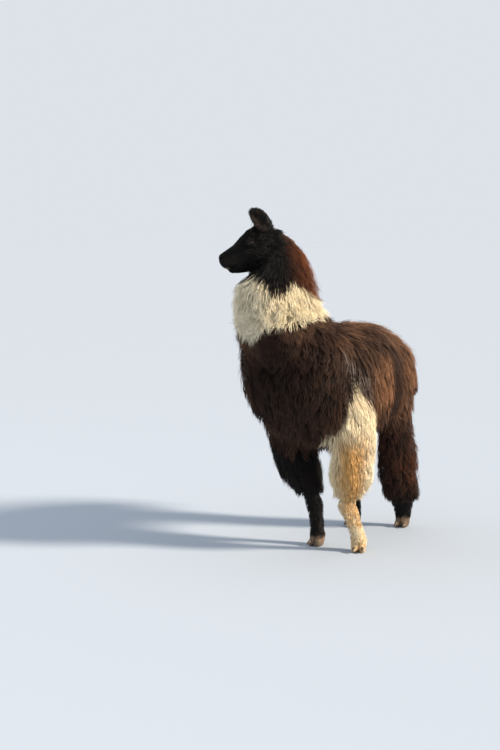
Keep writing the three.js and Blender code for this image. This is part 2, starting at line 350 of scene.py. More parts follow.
def off_line(points, start, end):
    """Distance from each point to the straight line between two places."""
    start = np.array(start)
    line = np.array(end) - start
    share = np.clip((points - start) @ line / (line @ line), 0, 1)
    return np.linalg.norm(points - start - share[:, None] * line, axis=1)


def region_labels(points):
    """The index in REGIONS of the CAD node nearest to each point."""
    if "regions" not in made:
        corners, faces, owners = [], [], []
        start = 0
        for index, node in enumerate(REGIONS):
            mesh = frame["nodes"][node].data
            corners.append(vertices(mesh))
            faces.append(triangles(mesh) + start)
            owners.append(np.full(len(faces[-1]), index))
            start += len(corners[-1])
        tree = BVHTree.FromPolygons(np.concatenate(corners).tolist(), np.concatenate(faces).tolist())
        made["regions"] = tree, np.concatenate(owners)
    tree, owners = made["regions"]
    return owners[nearest(tree, points)[2]]


# Markings --------------------------------------------------------------------------------------

def coat_depth(points, labels):
    """How thick the coat lies over the skin."""
    z = points[:, 2]
    depth = np.full(len(points), 0.042)
    name = np.array(REGIONS)[labels]
    neck = name == "neck"
    depth[neck] = 0.024 + 0.018 * smooth(1.52, 1.38, z[neck])
    fore = np.isin(name, LEGS[:2])
    depth[fore] = 0.006 + 0.030 * smooth(0.235, 0.30, z[fore])
    hind = np.isin(name, LEGS[2:])
    depth[hind] = 0.006 + 0.030 * smooth(0.14, 0.28, z[hind])
    depth[name == "tail"] = 0.024
    depth[np.isin(name, HEAD_NODES)] = HEAD_CORE
    foot = (fore | hind) & (z < 0.07)
    depth[foot] = 0.003
    return depth


def angle_round(points, middle):
    """Degrees round an upright line from the front, growing towards the animal's left."""
    return np.degrees(np.arctan2(points[:, 0] - middle[..., 0], middle[..., 1] - points[:, 1]))


def pale_leg(points, name, wobble):
    """Where the left foreleg is pale, from 0 to 1, and how golden it is there."""
    z = points[:, 2]
    middle = leg_middle("foreleg_left", z)
    angle = angle_round(points, middle)
    off = np.hypot(*(points[:, :2] - middle).T)
    level, start, end = np.array(PALE_LEG).T
    inside = np.minimum(angle - np.interp(z, level, start), np.interp(z, level, end) - angle)
    near = np.isin(name, ("foreleg_left", "trunk")) & (points[:, 0] > 0.02) & (z < 0.84)
    near &= off < np.where(name == "trunk", np.where(z > 0.55, 0.17, 0.12), 0.3)
    pale = near * smooth(-4, 4, inside + 7 * wobble)
    centre = smooth(70, 15, np.abs(angle - 22))
    gold = centre * smooth(0.66, 0.50, z) * np.clip(0.9 + 0.4 * wobble, 0, 1)
    shank = smooth(0.30, 0.24, z)
    return pale, np.clip(gold * (1 - shank) + shank * (0.5 + 0.6 * wobble), 0, 1)


def trunk_colours(c, points, wobble, patch):
    """Brown wool, redder on the rear of the flank and the haunches and darker on the breast, with painted
    shade in the dip between barrel and haunch.
    """
    x, y, z = points.T
    root = np.repeat(c["body"][None], len(points), axis=0)
    tip = mix(c["body"] * 1.3, c["body_tip"], patch)
    flank = smooth(-0.22, -0.02, y) * smooth(0.64, 0.74, z) * smooth(1.02, 0.84, z) * smooth(0.12, 0.02, y)
    rump = smooth(0.16, 0.34, y) * smooth(0.55, 0.75, z)
    red = np.clip(0.75 * flank * (1 + 0.4 * wobble) + rump * (0.35 + 0.5 * wobble), 0, 1)
    root = mix(root, c["rust"] * 0.45, 0.8 * red)
    tip = mix(tip, c["rust"], red)
    # Painted shade: the tips darken in the dip between the barrel and the haunch.
    painted_hollow_shade = smooth(0.03, 0.08, y) * smooth(0.30, 0.16, y) * smooth(1.05, 0.90, z)
    tip = mix(tip, c["body"], 0.75 * painted_hollow_shade)
    breast = smooth(-0.30, -0.62, y - 0.25 * (x + 0.05)) * smooth(1.05, 0.85, z)
    root = mix(root, c["body"] * 0.3, breast)
    tip = mix(tip, c["body"] * 0.78, 0.8 * breast)
    low_belly = smooth(0.72, 0.58, z) * smooth(0.1, -0.1, y)
    tip = mix(tip, c["body"] * 1.1, 0.6 * low_belly)
    grey = smooth(0.07, 0.01, off_line(points, *GREY_LINE)) * (hashed(np.floor(points / 0.011), 9) > 0.5)
    return root, mix(tip, c["grey"], 0.75 * grey)


def neck_colours(c, points, name, wobble, patch, root, tip):
    """Lays the dark upper neck and the pale collar over the brown, with painted sunlight on the sun's side:
    warmer collar wool and rust nape tips.
    """
    y, z = points[:, 1], points[:, 2]
    angle = angle_round(points, np.array(NECK_AXIS))
    high = np.interp(angle, *np.array(COLLAR_TOP).T) + 0.014 * wobble
    low = np.interp(angle, *np.array(COLLAR_LOW).T) + 0.016 * wobble
    on_neck = np.isin(name, ("neck", "trunk")) & (y < -0.20)
    below = smooth(-0.004, 0.004, z - low)
    above = smooth(-0.004, 0.004, z - high)
    collar = on_neck * below * (1 - above)
    nape = on_neck * above * (z > 1.2)
    rearward = np.cos(np.radians(angle - 130))
    # Rust tips on the nape's sunlit rear: partly real bleaching, partly painted sunlight.
    sunlit_rear = smooth(0.0, 1.0, rearward)
    dark = smooth(0.9, -0.1, rearward + 2.2 * (1.40 - z)) * smooth(1.27, 1.31, z)
    bleached_and_sunlit = sunlit_rear * (0.5 + 0.5 * patch) * smooth(1.56, 1.44, z + 0.02 * wobble)
    nape_tip = mix(c["nape"] * 1.3, c["nape_tip"], np.clip(0.2 * patch + bleached_and_sunlit, 0, 1))
    nape_tip = mix(nape_tip, c["face"] * 1.5, dark)
    # Painted sunlight: the collar turns warmer on the side facing the sun.
    sunny = smooth(0.0, 0.9, np.cos(np.radians(angle - 75)))
    root = mix(mix(root, mix(c["nape"] * 0.6, c["face"], dark), nape), c["collar_root"], collar)
    tip = mix(mix(tip, nape_tip, nape), mix(c["collar"], c["collar_warm"], 0.7 * sunny), collar)
    return root, tip


def leg_colours(c, leg, points, name, wobble, patch):
    """Where a leg's own colour lies, from 0 to 1, and its root and tip colour there."""
    z = points[:, 2]
    on = (name == leg).astype(float)
    if leg == "foreleg_left":
        on, gold = pale_leg(points, name, wobble)
        # The darker roots are painted shade deep in the wool.
        root = mix(c["cream"] * 0.85, c["tan"] * 0.75, gold)
        tip = mix(c["cream"], c["tan"], gold)
    elif leg == "foreleg_right":
        root = np.repeat(c["dark_leg"][None] * 0.8, len(points), axis=0)
        tip = mix(c["dark_leg"] * 1.2, c["hind_leg"] * 0.8, 0.35 * patch)
    else:
        low_leg = smooth(0.24, 0.12, z)
        root = mix(c["hind_leg"] * 0.6, c["dark_leg"], low_leg)
        tip = mix(mix(c["hind_leg"], c["hind_tip"], patch), c["dark_leg"], low_leg)
    toes = smooth(0.07, 0.045, z + 0.012 * wobble) * (leg != "foreleg_left")
    return on, mix(root, c["toe"] * 0.8, toes), mix(tip, c["toe"], toes)


def head_colours(c, points, name, wobble, root, tip):
    """Lays the dark face, the pale lip and the browner inside of the ears over the rest."""
    face = np.isin(name, HEAD_NODES)
    local = to_head(points)
    root[face] = c["face"] * 0.8
    tip[face] = c["face"] * 1.1
    lip = along(local, (0.0, -0.226, -0.026), (0.030, -0.205, -0.034))
    lip = face * smooth(0.014, 0.007, lip + 0.003 * wobble) * (hashed(np.floor(points / 0.003), 8) > 0.35)
    root = mix(root, c["lip"] * 0.6, lip)
    tip = mix(tip, c["lip"], lip)
    ear = face & np.char.startswith(name, "ear")
    inside = smooth(0.052, 0.064, np.abs(local[:, 0])) * smooth(0.030, 0.018, np.abs(local[:, 1] - 0.018))
    inside *= smooth(0.165, 0.14, local[:, 2])
    root = mix(root, c["inner_ear"] * 0.5, 0.8 * inside * ear)
    return root, mix(tip, c["inner_ear"], 0.7 * inside * ear)


def markings(points, labels):
    """Root and tip colour of the coat at each point, by the animal's own zones. The roots are darker: partly
    the tips' real bleaching, partly painted shade deep in the coat.
    """
    chosen = bpy.context.scene.llama_colours
    c = {key: np.array(getattr(chosen, key)) for key in LlamaColours.__annotations__}
    name = np.array(REGIONS)[labels]
    wobble = 0.7 * noise(points, 0.08, 3) + 0.5 * noise(points, 0.03, 4)
    patch = np.clip(0.5 + 0.75 * noise(points, 0.17, 5) + 0.25 * noise(points, 0.05, 6), 0, 1)
    root, tip = trunk_colours(c, points, wobble, patch)
    root, tip = neck_colours(c, points, name, wobble, patch, root, tip)
    for leg in LEGS:
        on, root_leg, tip_leg = leg_colours(c, leg, points, name, wobble, patch)
        root = mix(root, root_leg, on)
        tip = mix(tip, tip_leg, on)
    return head_colours(c, points, name, wobble, root, tip)


def store_colour(mesh, name, colours):
    layer = mesh.color_attributes.new(name, "FLOAT_COLOR", "POINT")
    rgba = np.ones((len(colours), 4), dtype=np.float32)
    rgba[:, :3] = colours
    layer.data.foreach_set("color", rgba.ravel())


# Materials -------------------------------------------------------------------------------------

def add_node(material, kind, settings=None, links=None):
    """A node of this kind, with its sockets and properties set and its inputs linked."""
    tree = material.node_tree
    node = tree.nodes.new(kind)
    for key, value in (settings or {}).items():
        if key in node.inputs:
            node.inputs[key].default_value = value
        else:
            setattr(node, key, value)
    for key, source in (links or {}).items():
        tree.links.new(source, node.inputs[key])
    return node


def new_material(name):
    material = bpy.data.materials.new(name)
    material.use_nodes = True
    material.node_tree.nodes.clear()
    return material


def finish_material(material, shader):
    output = add_node(material, "ShaderNodeOutputMaterial")
    material.node_tree.links.new(shader.outputs[0], output.inputs["Surface"])
    return material


def wool_material():
    # Llama wool: fine, scaly keratin fibres side by side in a lock. They scatter light softly, with a broad,
    # weak gloss, and show as streaks along the lock.
    material = new_material("llama_wool")
    tint = add_node(material, "ShaderNodeAttribute", {"attribute_name": "coat"})
    place = add_node(material, "ShaderNodeUVMap", {"uv_map": "OFBake"})
    stretch = add_node(material, "ShaderNodeMapping", {"Scale": (4.5 / PATCH, 0.7 / PATCH, 1.0)},
                       {"Vector": place.outputs["UV"]})
    fibres = add_node(material, "ShaderNodeTexNoise", {"Scale": 1.0, "Detail": 2.0},
                      {"Vector": stretch.outputs["Vector"]})
    streak = add_node(material, "ShaderNodeMapRange", {"From Min": 0.25, "From Max": 0.75, "To Min": 0.50,
                                                       "To Max": 1.42}, {"Value": fibres.outputs["Fac"]})
    shade = add_node(material, "ShaderNodeVectorMath", {"operation": "SCALE"},
                     {0: tint.outputs["Color"], "Scale": streak.outputs["Result"]})
    bump = add_node(material, "ShaderNodeBump", {"Strength": 0.7, "Distance": 0.0006},
                    {"Height": fibres.outputs["Fac"]})
    shader = add_node(material, "ShaderNodeBsdfPrincipled",
                      {"Roughness": 0.62, "IOR": 1.55, "Specular IOR Level": 0.16, "Sheen Weight": 0.45,
                       "Sheen Roughness": 0.6},
                      {"Base Color": shade.outputs["Vector"], "Normal": bump.outputs["Normal"],
                       "Sheen Tint": shade.outputs["Vector"]})
    return finish_material(material, shader)


def skin_material():
    # Hide under a short, close coat: the hair's grain shows as fine streaks across the surface.
    material = new_material("short_coated_hide")
    tint = add_node(material, "ShaderNodeAttribute", {"attribute_name": "coat"})
    place = add_node(material, "ShaderNodeTexCoord")
    grain = add_node(material, "ShaderNodeTexNoise", {"Scale": 420.0, "Detail": 3.0, "Roughness": 0.6},
                     {"Vector": place.outputs["Object"]})
    bump = add_node(material, "ShaderNodeBump", {"Strength": 0.55, "Distance": 0.0012},
                    {"Height": grain.outputs["Fac"]})
    shader = add_node(material, "ShaderNodeBsdfPrincipled",
                      {"Roughness": 0.65, "IOR": 1.5, "Specular IOR Level": 0.16},
                      {"Base Color": tint.outputs["Color"], "Normal": bump.outputs["Normal"]})
    return finish_material(material, shader)


def eye_material():
    # A wet cornea over a very dark brown iris and a level black pupil.
    material = new_material("wet_brown_eye")
    tint = add_node(material, "ShaderNodeAttribute", {"attribute_name": "iris"})
    shader = add_node(material, "ShaderNodeBsdfPrincipled",
                      {"Roughness": 0.05, "IOR": 1.38, "Specular IOR Level": 0.5},
                      {"Base Color": tint.outputs["Color"]})
    return finish_material(material, shader)


def nail_material():
    # Horn: layered keratin, dull and slightly streaked along its growth.
    material = new_material("toenail_horn")
    place = add_node(material, "ShaderNodeTexCoord")
    streak = add_node(material, "ShaderNodeTexNoise", {"Scale": 160.0, "Detail": 4.0},
                      {"Vector": place.outputs["Object"]})
    ramp = add_node(material, "ShaderNodeMix", {"data_type": "RGBA"})
    material.node_tree.links.new(streak.outputs["Fac"], ramp.inputs["Factor"])
    ramp.inputs[6].default_value = (*linear("#2b211b"), 1)
    ramp.inputs[7].default_value = (*linear("#6b5a4a"), 1)
    shader = add_node(material, "ShaderNodeBsdfPrincipled", {"Roughness": 0.42, "IOR": 1.54},
                      {"Base Color": ramp.outputs[2]})
    return finish_material(material, shader)


# Skin ------------------------------------------------------------------------------------------

def inset(obj, depth, rounds=10):
    """Draws a closed surface inwards by a depth at each vertex, smoothing as it goes."""
    faces = triangles(obj.data)
    points = vertices(obj.data)
    for _ in range(rounds):
        points = points - vertex_normals(points, faces) * (depth / rounds)[:, None]
        points = averaged(points, faces, 1, 0.35)
    set_vertices(obj.data, points)


def cut_at(obj, height, keep_lower=False):
    """Cuts an object level at this height and closes the cut."""
    with editing(obj, "SELECT"):
        bpy.ops.mesh.bisect(plane_co=(0, 0, height), plane_no=(0, 0, 1), use_fill=True,
                            clear_inner=not keep_lower, clear_outer=keep_lower)


def draw_in(obj, rounds):
    """Insets an outline by the coat's depth, which changes smoothly over it."""
    points, faces = vertices(obj.data), triangles(obj.data)
    depth = coat_depth(points, region_labels(points))
    inset(obj, averaged(depth, faces, 12), rounds)


def coat_outline():
    """The outside of the whole coat, for finding how deep it is at any place."""
    outline = copy_nodes(REGIONS, "coat_outline")
    remesh(outline, 0.008, 3)
    tree = tree_of(outline)
    bpy.data.objects.remove(outline)
    return tree


def body_skin():
    """The hide of the trunk, neck, tail and upper legs, run on inside the head to join its skin."""
    body = copy_nodes(BODY_NODES + ("head",), "body_skin")
    remesh(body, 0.010, 4)
    draw_in(body, 12)
    remesh(body, 0.009, 5)
    cut_at(body, BODY_CUT)
    return body


def feet_skin():
    """The hide of the lower legs, fine enough for the toes."""
    feet = copy_nodes(LEGS, "feet_skin")
    cut_at(feet, LEG_TRIM, keep_lower=True)
    remesh(feet, 0.0045, 4)
    draw_in(feet, 16)
    remesh(feet, 0.0042, 3)
    cut_at(feet, FEET_CUT, keep_lower=True)
    return feet


def dab(local, centre, radius, height):
    """A round swelling, or a dent where height is negative, mirrored to both sides of the head."""
    off = np.stack([np.abs(local[:, 0]) - centre[0], local[:, 1] - centre[1], local[:, 2] - centre[2]], 1)
    return height * np.exp(-(off ** 2).sum(1) / radius ** 2)


def along(local, start, end):
    """Distance from each point, mirrored to the left, to the segment from start to end."""
    return off_line(np.stack([np.abs(local[:, 0]), local[:, 1], local[:, 2]], 1), start, end)


def groove(distance, width, depth, lip):
    """A crease with soft raised edges."""
    return lip * np.exp(-((distance - 1.9 * width) / width) ** 2) - depth * np.exp(-(distance / width) ** 2)


def head_skin():
    """The hide of the head and ears, fine enough for the lids and lips."""
    head = copy_nodes(HEAD_NODES + ("eye_left", "eye_right"), "head_skin")
    remesh(head, 0.0026, 4)
    points, faces = vertices(head.data), triangles(head.data)
    local = to_head(points)
    name = np.array(REGIONS)[region_labels(points)]
    depth = 0.0035 + 0.010 * smooth(-0.14, 0.03, local[:, 1])
    depth[np.char.startswith(name, "ear")] = 0.0
    inset(head, averaged(depth, faces, 8), 5)
    return head


def refine(obj, zone, size, rounds=3):
    """Splits the faces of a zone until their edges are shorter than size."""
    for _ in range(rounds):
        points, faces = vertices(obj.data), triangles(obj.data)
        corner = points[faces]
        longest = np.linalg.norm(corner - np.roll(corner, 1, axis=1), axis=2).max(1)
        with editing(obj, "DESELECT", "FACE"):
            pass
        obj.data.polygons.foreach_set("select", zone(corner.mean(1)) & (longest > size))
        with editing(obj):
            bpy.ops.mesh.subdivide(number_cuts=1)
            bpy.ops.mesh.select_all(action="SELECT")
            bpy.ops.mesh.quads_convert_to_tris()


def near_eye(points):
    """Distance from each point to the middle of the nearer eye."""
    return np.minimum(*[np.linalg.norm(points - eye_frame(sign)[0], axis=1) for sign in (1, -1)])


def around_eyes(points):
    return near_eye(points) < 0.023


def around_mouth(points):
    local = to_head(points)
    return (local[:, 1] < -0.15) & (np.abs(local[:, 0]) < 0.06) & (np.abs(local[:, 2]) < 0.08)


def around_toes(points):
    return points[:, 2] < 0.055


def toe_clefts(points):
    """How deep the cleft between each foot's two toes runs at each point."""
    depth = np.zeros(len(points))
    for x, y, turn in FEET:
        forward = (points[:, 0] - x) * math.sin(turn) - (points[:, 1] - y) * math.cos(turn)
        aside = (points[:, 0] - x) * math.cos(turn) + (points[:, 1] - y) * math.sin(turn)
        here = smooth(0.0, 0.03, forward) * (forward < 0.12) * smooth(0.060, 0.040, points[:, 2])
        depth += 0.008 * here * np.exp(-(aside / 0.0032) ** 2)
    return depth


# Swellings and hollows of the face: middle in the head's own axes, radius and height.
FACE_FORMS = (
    ((0.047, -0.020, -0.048), 0.034, 0.004),  # jaw muscle
    ((0.050, -0.092, 0.006), 0.020, 0.004),  # cheekbone
    ((0.040, -0.135, 0.010), 0.022, 0.0025),  # side of the nose
    ((0.000, -0.125, 0.062), 0.030, -0.004),  # dip in the nose's bridge
    ((0.044, -0.010, 0.062), 0.018, -0.003),  # temple
    ((0.000, -0.205, -0.052), 0.016, 0.003),  # chin
    ((0.020, -0.214, 0.034), 0.014, 0.003),  # wing of the nostril
    ((0.026, -0.205, 0.000), 0.016, 0.003),  # upper lip
)


def sculpt_detail(obj):
    """Models the cheeks, muzzle, nostrils, mouth, lids and cloven toes on the finished skin."""
    refine(obj, around_eyes, 0.0020)
    refine(obj, around_mouth, 0.0034)
    refine(obj, around_toes, 0.0050, 2)
    close_up(obj)
    points, faces = vertices(obj.data), triangles(obj.data)
    fine = (around_eyes(points) | around_mouth(points)).astype(float)[:, None]
    points = points + (averaged(points, faces, 3) - points) * fine
    local = to_head(points)
    lift = np.zeros(len(points))
    for centre, radius, height in FACE_FORMS:
        lift += dab(local, centre, radius, height)
    nostril = along(local, (0.0175, -0.2245, 0.010), (0.028, -0.205, 0.024))
    lift += groove(nostril, 0.0036, 0.0085, 0.0016)
    mouth = np.minimum(along(local, (0.0, -0.229, -0.014), (0.026, -0.212, -0.020)),
                       along(local, (0.026, -0.212, -0.020), (0.036, -0.160, -0.030)))
    lift += groove(mouth, 0.0028, 0.0055, 0.0014)
    cleft = along(local, (0.0, -0.232, -0.010), (0.0, -0.230, 0.012))
    lift += groove(cleft, 0.0026, 0.0045, 0.0008)
    points = points + vertex_normals(points, faces) * lift[:, None]
    points = points - vertex_normals(points, faces) * toe_clefts(points)[:, None]
    set_vertices(obj.data, shape_lids(points))


def eye_frame(sign):
    """Centre, outward axis and the two directions across an eye."""
    centre = from_head(np.array([[sign * EYE_PLACE[0], EYE_PLACE[1], EYE_PLACE[2]]]))[0]
    out = unit(HEAD_AXES @ np.array((sign * 0.94, -0.30, 0.12)))
    fore = unit(HEAD_AXES @ np.array((0, -1.0, -0.22)))
    fore = unit(fore - out * (fore @ out))
    up = unit(np.cross(fore, out) * sign)
    if up[2] < 0:
        up = -up
    return centre, out, fore, up


def lid_edges(u):
    """Heights of the upper and lower lid's edge over the eye's long axis."""
    share = np.clip(np.abs(u) / EYE_OPENING[0], 0, 1)
    return EYE_OPENING[1] * (1 - share ** 2.2), -EYE_OPENING[2] * (1 - share ** 1.8)


def shape_lids(points):
    """Lays the lids over each eyeball and opens an almond between them, with a fold above it."""
    points = points.copy()
    for sign in (1, -1):
        centre, out, fore, up = eye_frame(sign)
        off = points - centre
        u, v, w = off @ fore, off @ up, off @ out
        r = np.hypot(u, v)
        near = (r < 0.030) & (w > -0.006)
        upper, lower = lid_edges(u)
        inside = np.abs(u) < EYE_OPENING[0]
        snapped = np.where(inside & (np.abs(v - upper) < 0.0009), upper, v)
        v = np.where(inside & (np.abs(v - lower) < 0.0009), lower, snapped)
        r = np.hypot(u, v)
        dome = np.sqrt(np.maximum((EYE_RADIUS + 0.0019) ** 2 - r ** 2, 0))
        cover = smooth(0.028, 0.0155, r)
        level = w + (np.maximum(dome, w) - w) * cover
        gap = np.where(inside, np.minimum(upper - v, v - lower), -0.01)
        level += 0.0009 * np.exp(-((gap + 0.0014) / 0.0012) ** 2) * (np.abs(u) < 0.0165)
        level -= 0.0016 * np.exp(-((v - upper - 0.0058) / 0.0014) ** 2) * smooth(0.0165, 0.012, np.abs(u))
        level += 0.0010 * np.exp(-((v - lower + 0.0052) / 0.0022) ** 2) * smooth(0.0165, 0.010, np.abs(u))
        deep = np.sqrt(np.maximum((EYE_RADIUS - 0.004) ** 2 - r ** 2, 0))
        opened = smooth(0.0001, 0.0010, gap)
        level = level * (1 - opened) + deep * opened
        points[near] = (centre + u[:, None] * fore + v[:, None] * up + level[:, None] * out)[near]
    return points


def faulty_edges(obj):
    """How many edges of a mesh don't join exactly two faces."""
    faces = triangles(obj.data)
    pairs = np.sort(np.concatenate([faces[:, [0, 1]], faces[:, [1, 2]], faces[:, [2, 0]]]), axis=1)
    return int((np.unique(pairs, axis=0, return_counts=True)[1] != 2).sum())


def close_up(obj, rounds=6):
    """Deletes loose points, and draws each faulty spot that a union leaves into one point."""
    for _ in range(rounds):
        with editing(obj, "SELECT", "VERT"):
            bpy.ops.mesh.quads_convert_to_tris()
            bpy.ops.mesh.delete_loose()
        if not faulty_edges(obj):
            return
        with editing(obj, "DESELECT"):
            bpy.ops.mesh.select_non_manifold()
            bpy.ops.mesh.merge(type="COLLAPSE")


def in_one_piece(obj):
    """Whether every point of a mesh is linked to its first one."""
    with editing(obj, "DESELECT", "VERT"):
        pass
    obj.data.vertices[0].select = True
    with editing(obj):
        bpy.ops.mesh.select_linked()
    linked = np.empty(len(obj.data.vertices), dtype=bool)
    obj.data.vertices.foreach_get("select", linked)
    return bool(linked.all())


class LLAMA_OT_skin(bpy.types.Operator):
    """Models one skin inside the flesh solids, with the face, lids, ears and toes shaped on it"""
    bl_idname = "llama.skin"
    bl_label = "Skin"

    def execute(self, context):
        made["outline"] = coat_outline()
        body = body_skin()
        feet = feet_skin()
        head = head_skin()
        deselect()
        head.select_set(True)
        feet.select_set(True)
        context.view_layer.objects.active = head
        bpy.ops.object.join()
        apply_modifier(body, "BOOLEAN", operation="UNION", solver="MANIFOLD", object=head)
        bpy.data.objects.remove(head)
        count = len(triangles(body.data))
        heights = vertices(body.data)[:, 2]
        if heights.min() > 0.02 or heights.max() < 1.6:
            raise RuntimeError("the skin's parts did not join")
        apply_modifier(body, "DECIMATE", ratio=min(1.0, SKIN_TRIANGLES / count))
        points, faces = vertices(body.data), triangles(body.data)
        seam = smooth(0.26, 0.29, points[:, 2]) * smooth(0.36, 0.33, points[:, 2])
        set_vertices(body.data, points + (averaged(points, faces, 8) - points) * seam[:, None])
        sculpt_detail(body)
        if len(triangles(body.data)) >= PIECE_TRIANGLES:
            raise RuntimeError("the skin has too many triangles")
        if faulty_edges(body) or not in_one_piece(body):
            raise RuntimeError("the skin is open or in separate pieces")
        body.name = body.data.name = "skin"
        points = vertices(body.data)
        labels = region_labels(points)
        root, _ = markings(points, labels)
        # The hide takes the coat's root colour, darkened further as painted shade under the wool.
        store_colour(body.data, "coat", root * 0.85)
        body.data.materials.clear()
        body.data.materials.append(skin_material())
        activate(body)
        bpy.ops.object.shade_smooth()
        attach(body, "root")
        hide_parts(*REGIONS)
        made["skin"] = tree_of(body)
        return {"FINISHED"}


class LLAMA_OT_eyes(bpy.types.Operator):
    """Models both eyeballs, with a bulging cornea and a level pupil"""
    bl_idname = "llama.eyes"
    bl_label = "Eyes"

    def execute(self, context):
        material = eye_material()
        for side, sign in (("left", 1), ("right", -1)):
            centre, out, fore, _ = eye_frame(sign)
            deselect()
            bpy.ops.mesh.primitive_uv_sphere_add(segments=56, ring_count=40, radius=EYE_RADIUS)
            eye = context.object
            eye.name = eye.data.name = f"eyeball_{side}"
            points = vertices(eye.data)
            bulge = 0.0012 * smooth(0.45, 1.0, points[:, 2] / EYE_RADIUS)
            front = points[:, 2] > 0
            pupil = smooth(1.15, 0.95, np.hypot(points[:, 0] / PUPIL[0], points[:, 1] / PUPIL[1])) * front
            iris = smooth(IRIS_RADIUS + 0.0015, IRIS_RADIUS, np.hypot(points[:, 0], points[:, 1])) * front
            colours = mix(mix(np.tile(linear("#0d0806"), (len(points), 1)), linear("#170d08"), iris),
                          linear("#030202"), pupil)
            store_colour(eye.data, "iris", colours)
            points[:, 2] += bulge
            across = np.cross(fore, out)
            points = centre + points[:, :1] * fore - points[:, 1:2] * across + points[:, 2:] * out
            set_vertices(eye.data, points)
            with editing(eye, "SELECT"):
                bpy.ops.mesh.normals_make_consistent(inside=False)
            bpy.ops.object.shade_smooth()
            eye.data.materials.append(material)
            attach(eye, "root")
            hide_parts(f"eye_{side}")
        return {"FINISHED"}


class LLAMA_OT_nails(bpy.types.Operator):
    """Rounds the two nails of each foot"""
    bl_idname = "llama.nails"
    bl_label = "Nails"

    def execute(self, context):
        material = nail_material()
        for leg in LEGS:
            for side in ("left", "right"):
                node = f"nail_{leg}_{side}"
                nail = copy_nodes((node,), f"horn_{leg}_{side}")
                nail.data.name = nail.name
                apply_modifier(nail, "SUBSURF", levels=2, render_levels=2)
                bpy.ops.object.shade_smooth()
                nail.data.materials.append(material)
                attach(nail, "root")
                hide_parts(node)
        return {"FINISHED"}


# Coat ------------------------------------------------------------------------------------------

def skin_arrays():
    mesh = bpy.data.objects["skin"].data
    points, faces = vertices(mesh), triangles(mesh)
    normals = vertex_normals(points, faces)
    labels = region_labels(points)
    return points, faces, normals, labels


def scatter(choose, count, seed):
    """Roots spread evenly over the skin, as dense at each place as choose says."""
    if "arrays" not in made:
        made["arrays"] = skin_arrays()
    points, faces, normals, labels = made["arrays"]
    rng = np.random.default_rng(seed)
    corner = points[faces]
    area = np.linalg.norm(np.cross(corner[:, 1] - corner[:, 0], corner[:, 2] - corner[:, 0]), axis=1) / 2
    weight = area * np.clip(choose(corner.mean(1), normals[faces[:, 0]], labels[faces[:, 0]]), 0, None)
    total = np.cumsum(weight)
    picks = np.searchsorted(total, (np.arange(count) + rng.random(count)) * total[-1] / count)
    picks = np.minimum(picks, len(faces) - 1)
    a, b = rng.random(count), rng.random(count)
    flip = a + b > 1
    a[flip], b[flip] = 1 - a[flip], 1 - b[flip]
    share = np.stack([1 - a - b, a, b], 1)
    roots = (points[faces[picks]] * share[..., None]).sum(1)
    grown = unit((normals[faces[picks]] * share[..., None]).sum(1))
    return roots, grown, labels[faces[picks, 0]], rng


def tangent(directions, normals):
    return unit(directions - normals * (directions * normals).sum(-1, keepdims=True))


def grow(roots, normals, lie, length, lift, fall, free, steps, stiff):
    """Paths of locks that leave the skin, lie over it and sink under their own weight.

    lift is how high the tip rides over the skin, fall how strongly the lock hangs from 0 to 1, and free
    marks the hairs that stand off the skin on their own, as on the rim of an ear."""
    tree = made["skin"]
    paths = [roots - normals * 0.002]
    heading = unit(tangent(lie, normals) + normals * 1.2)
    point = roots
    down = np.array((0.0, 0.0, -1.0))
    for k in range(1, steps + 1):
        t = k / steps
        hang = (fall * t)[:, None]
        flow = unit(lie * (1 - hang) + down * hang)
        heading = unit(heading * stiff + flow * (1 - stiff))
        point = point + heading * (length / steps)[:, None]
        spot, normal, _, _ = nearest(tree, point)
        height = ((point - spot) * normal).sum(1)
        low = lift * math.sqrt(t)
        high = low * 1.35 + 0.004
        held = np.clip(height, low, high)
        # A spot far off lies on another part of the body, so the lock keeps to its own way there.
        far = np.linalg.norm(spot + normal * held[:, None] - paths[-1], axis=1) > 1.8 * length / steps + 0.006
        held = np.where(free | far, height, held)
        moved = np.abs(held - height) > 1e-6
        point = np.where(moved[:, None], spot + normal * held[:, None], point)
        sunk = (height < low) & ~free & ~far
        heading = np.where(sunk[:, None], unit(tangent(heading, normal) + 0.08 * normal), heading)
        paths.append(point)
    return np.stack(paths, 1)


def clump(paths, every, pull, rng, power=1.4):
    """Draws neighbouring locks together towards their tips. Also gives each lock's group."""
    roots = paths[:, 0]
    leaders = rng.permutation(len(roots))[: max(2, len(roots) // every)]
    tree = KDTree(len(leaders))
    for index, leader in enumerate(leaders):
        tree.insert(roots[leader], index)
    tree.balance()
    group = np.array([tree.find(root)[1] for root in roots.tolist()])
    owner = leaders[group]
    t = np.linspace(0, 1, paths.shape[1])[None, :, None]
    away = (roots - roots[owner])[:, None] * 0.3
    pull = np.broadcast_to(pull, len(roots))[:, None, None]
    return paths + (paths[owner] + away - paths) * pull * t ** power, group


def wave(paths, normals, size, turns, phase, roll=0.45):
    """Crimp: a wave across each lock, growing towards its tip. roll turns it into a ringlet."""
    heading = unit(np.gradient(paths, axis=1))
    across = unit(np.cross(normals[:, None], heading))
    t = np.linspace(0, 1, paths.shape[1])[None, :]
    turn = 2 * math.pi * turns[:, None] * t + phase[:, None]
    size = size[:, None] * np.sqrt(t)
    swing = size * (np.sin(turn) - np.sin(phase)[:, None])
    rise = size * roll * (np.cos(turn) - np.cos(phase)[:, None])
    return paths + across * swing[..., None] + normals[:, None] * rise[..., None]


def cylinder_map(roots, axis, origin):
    """Roots on an unwrap round the part's own long axis, within the unit square."""
    axis = unit(np.array(axis, dtype=float))
    side = unit(np.cross(axis, (0.3, 0.1, 0.9) if abs(axis[2]) < 0.8 else (0, 1.0, 0)))
    up = np.cross(axis, side)
    off = roots - np.array(origin)
    u = np.arctan2(off @ up, off @ side) / (2 * math.pi) + 0.5
    v = off @ axis
    v = (v - v.min()) / max(v.max() - v.min(), 1e-6)
    return 0.01 + 0.98 * np.stack([u, v], 1)


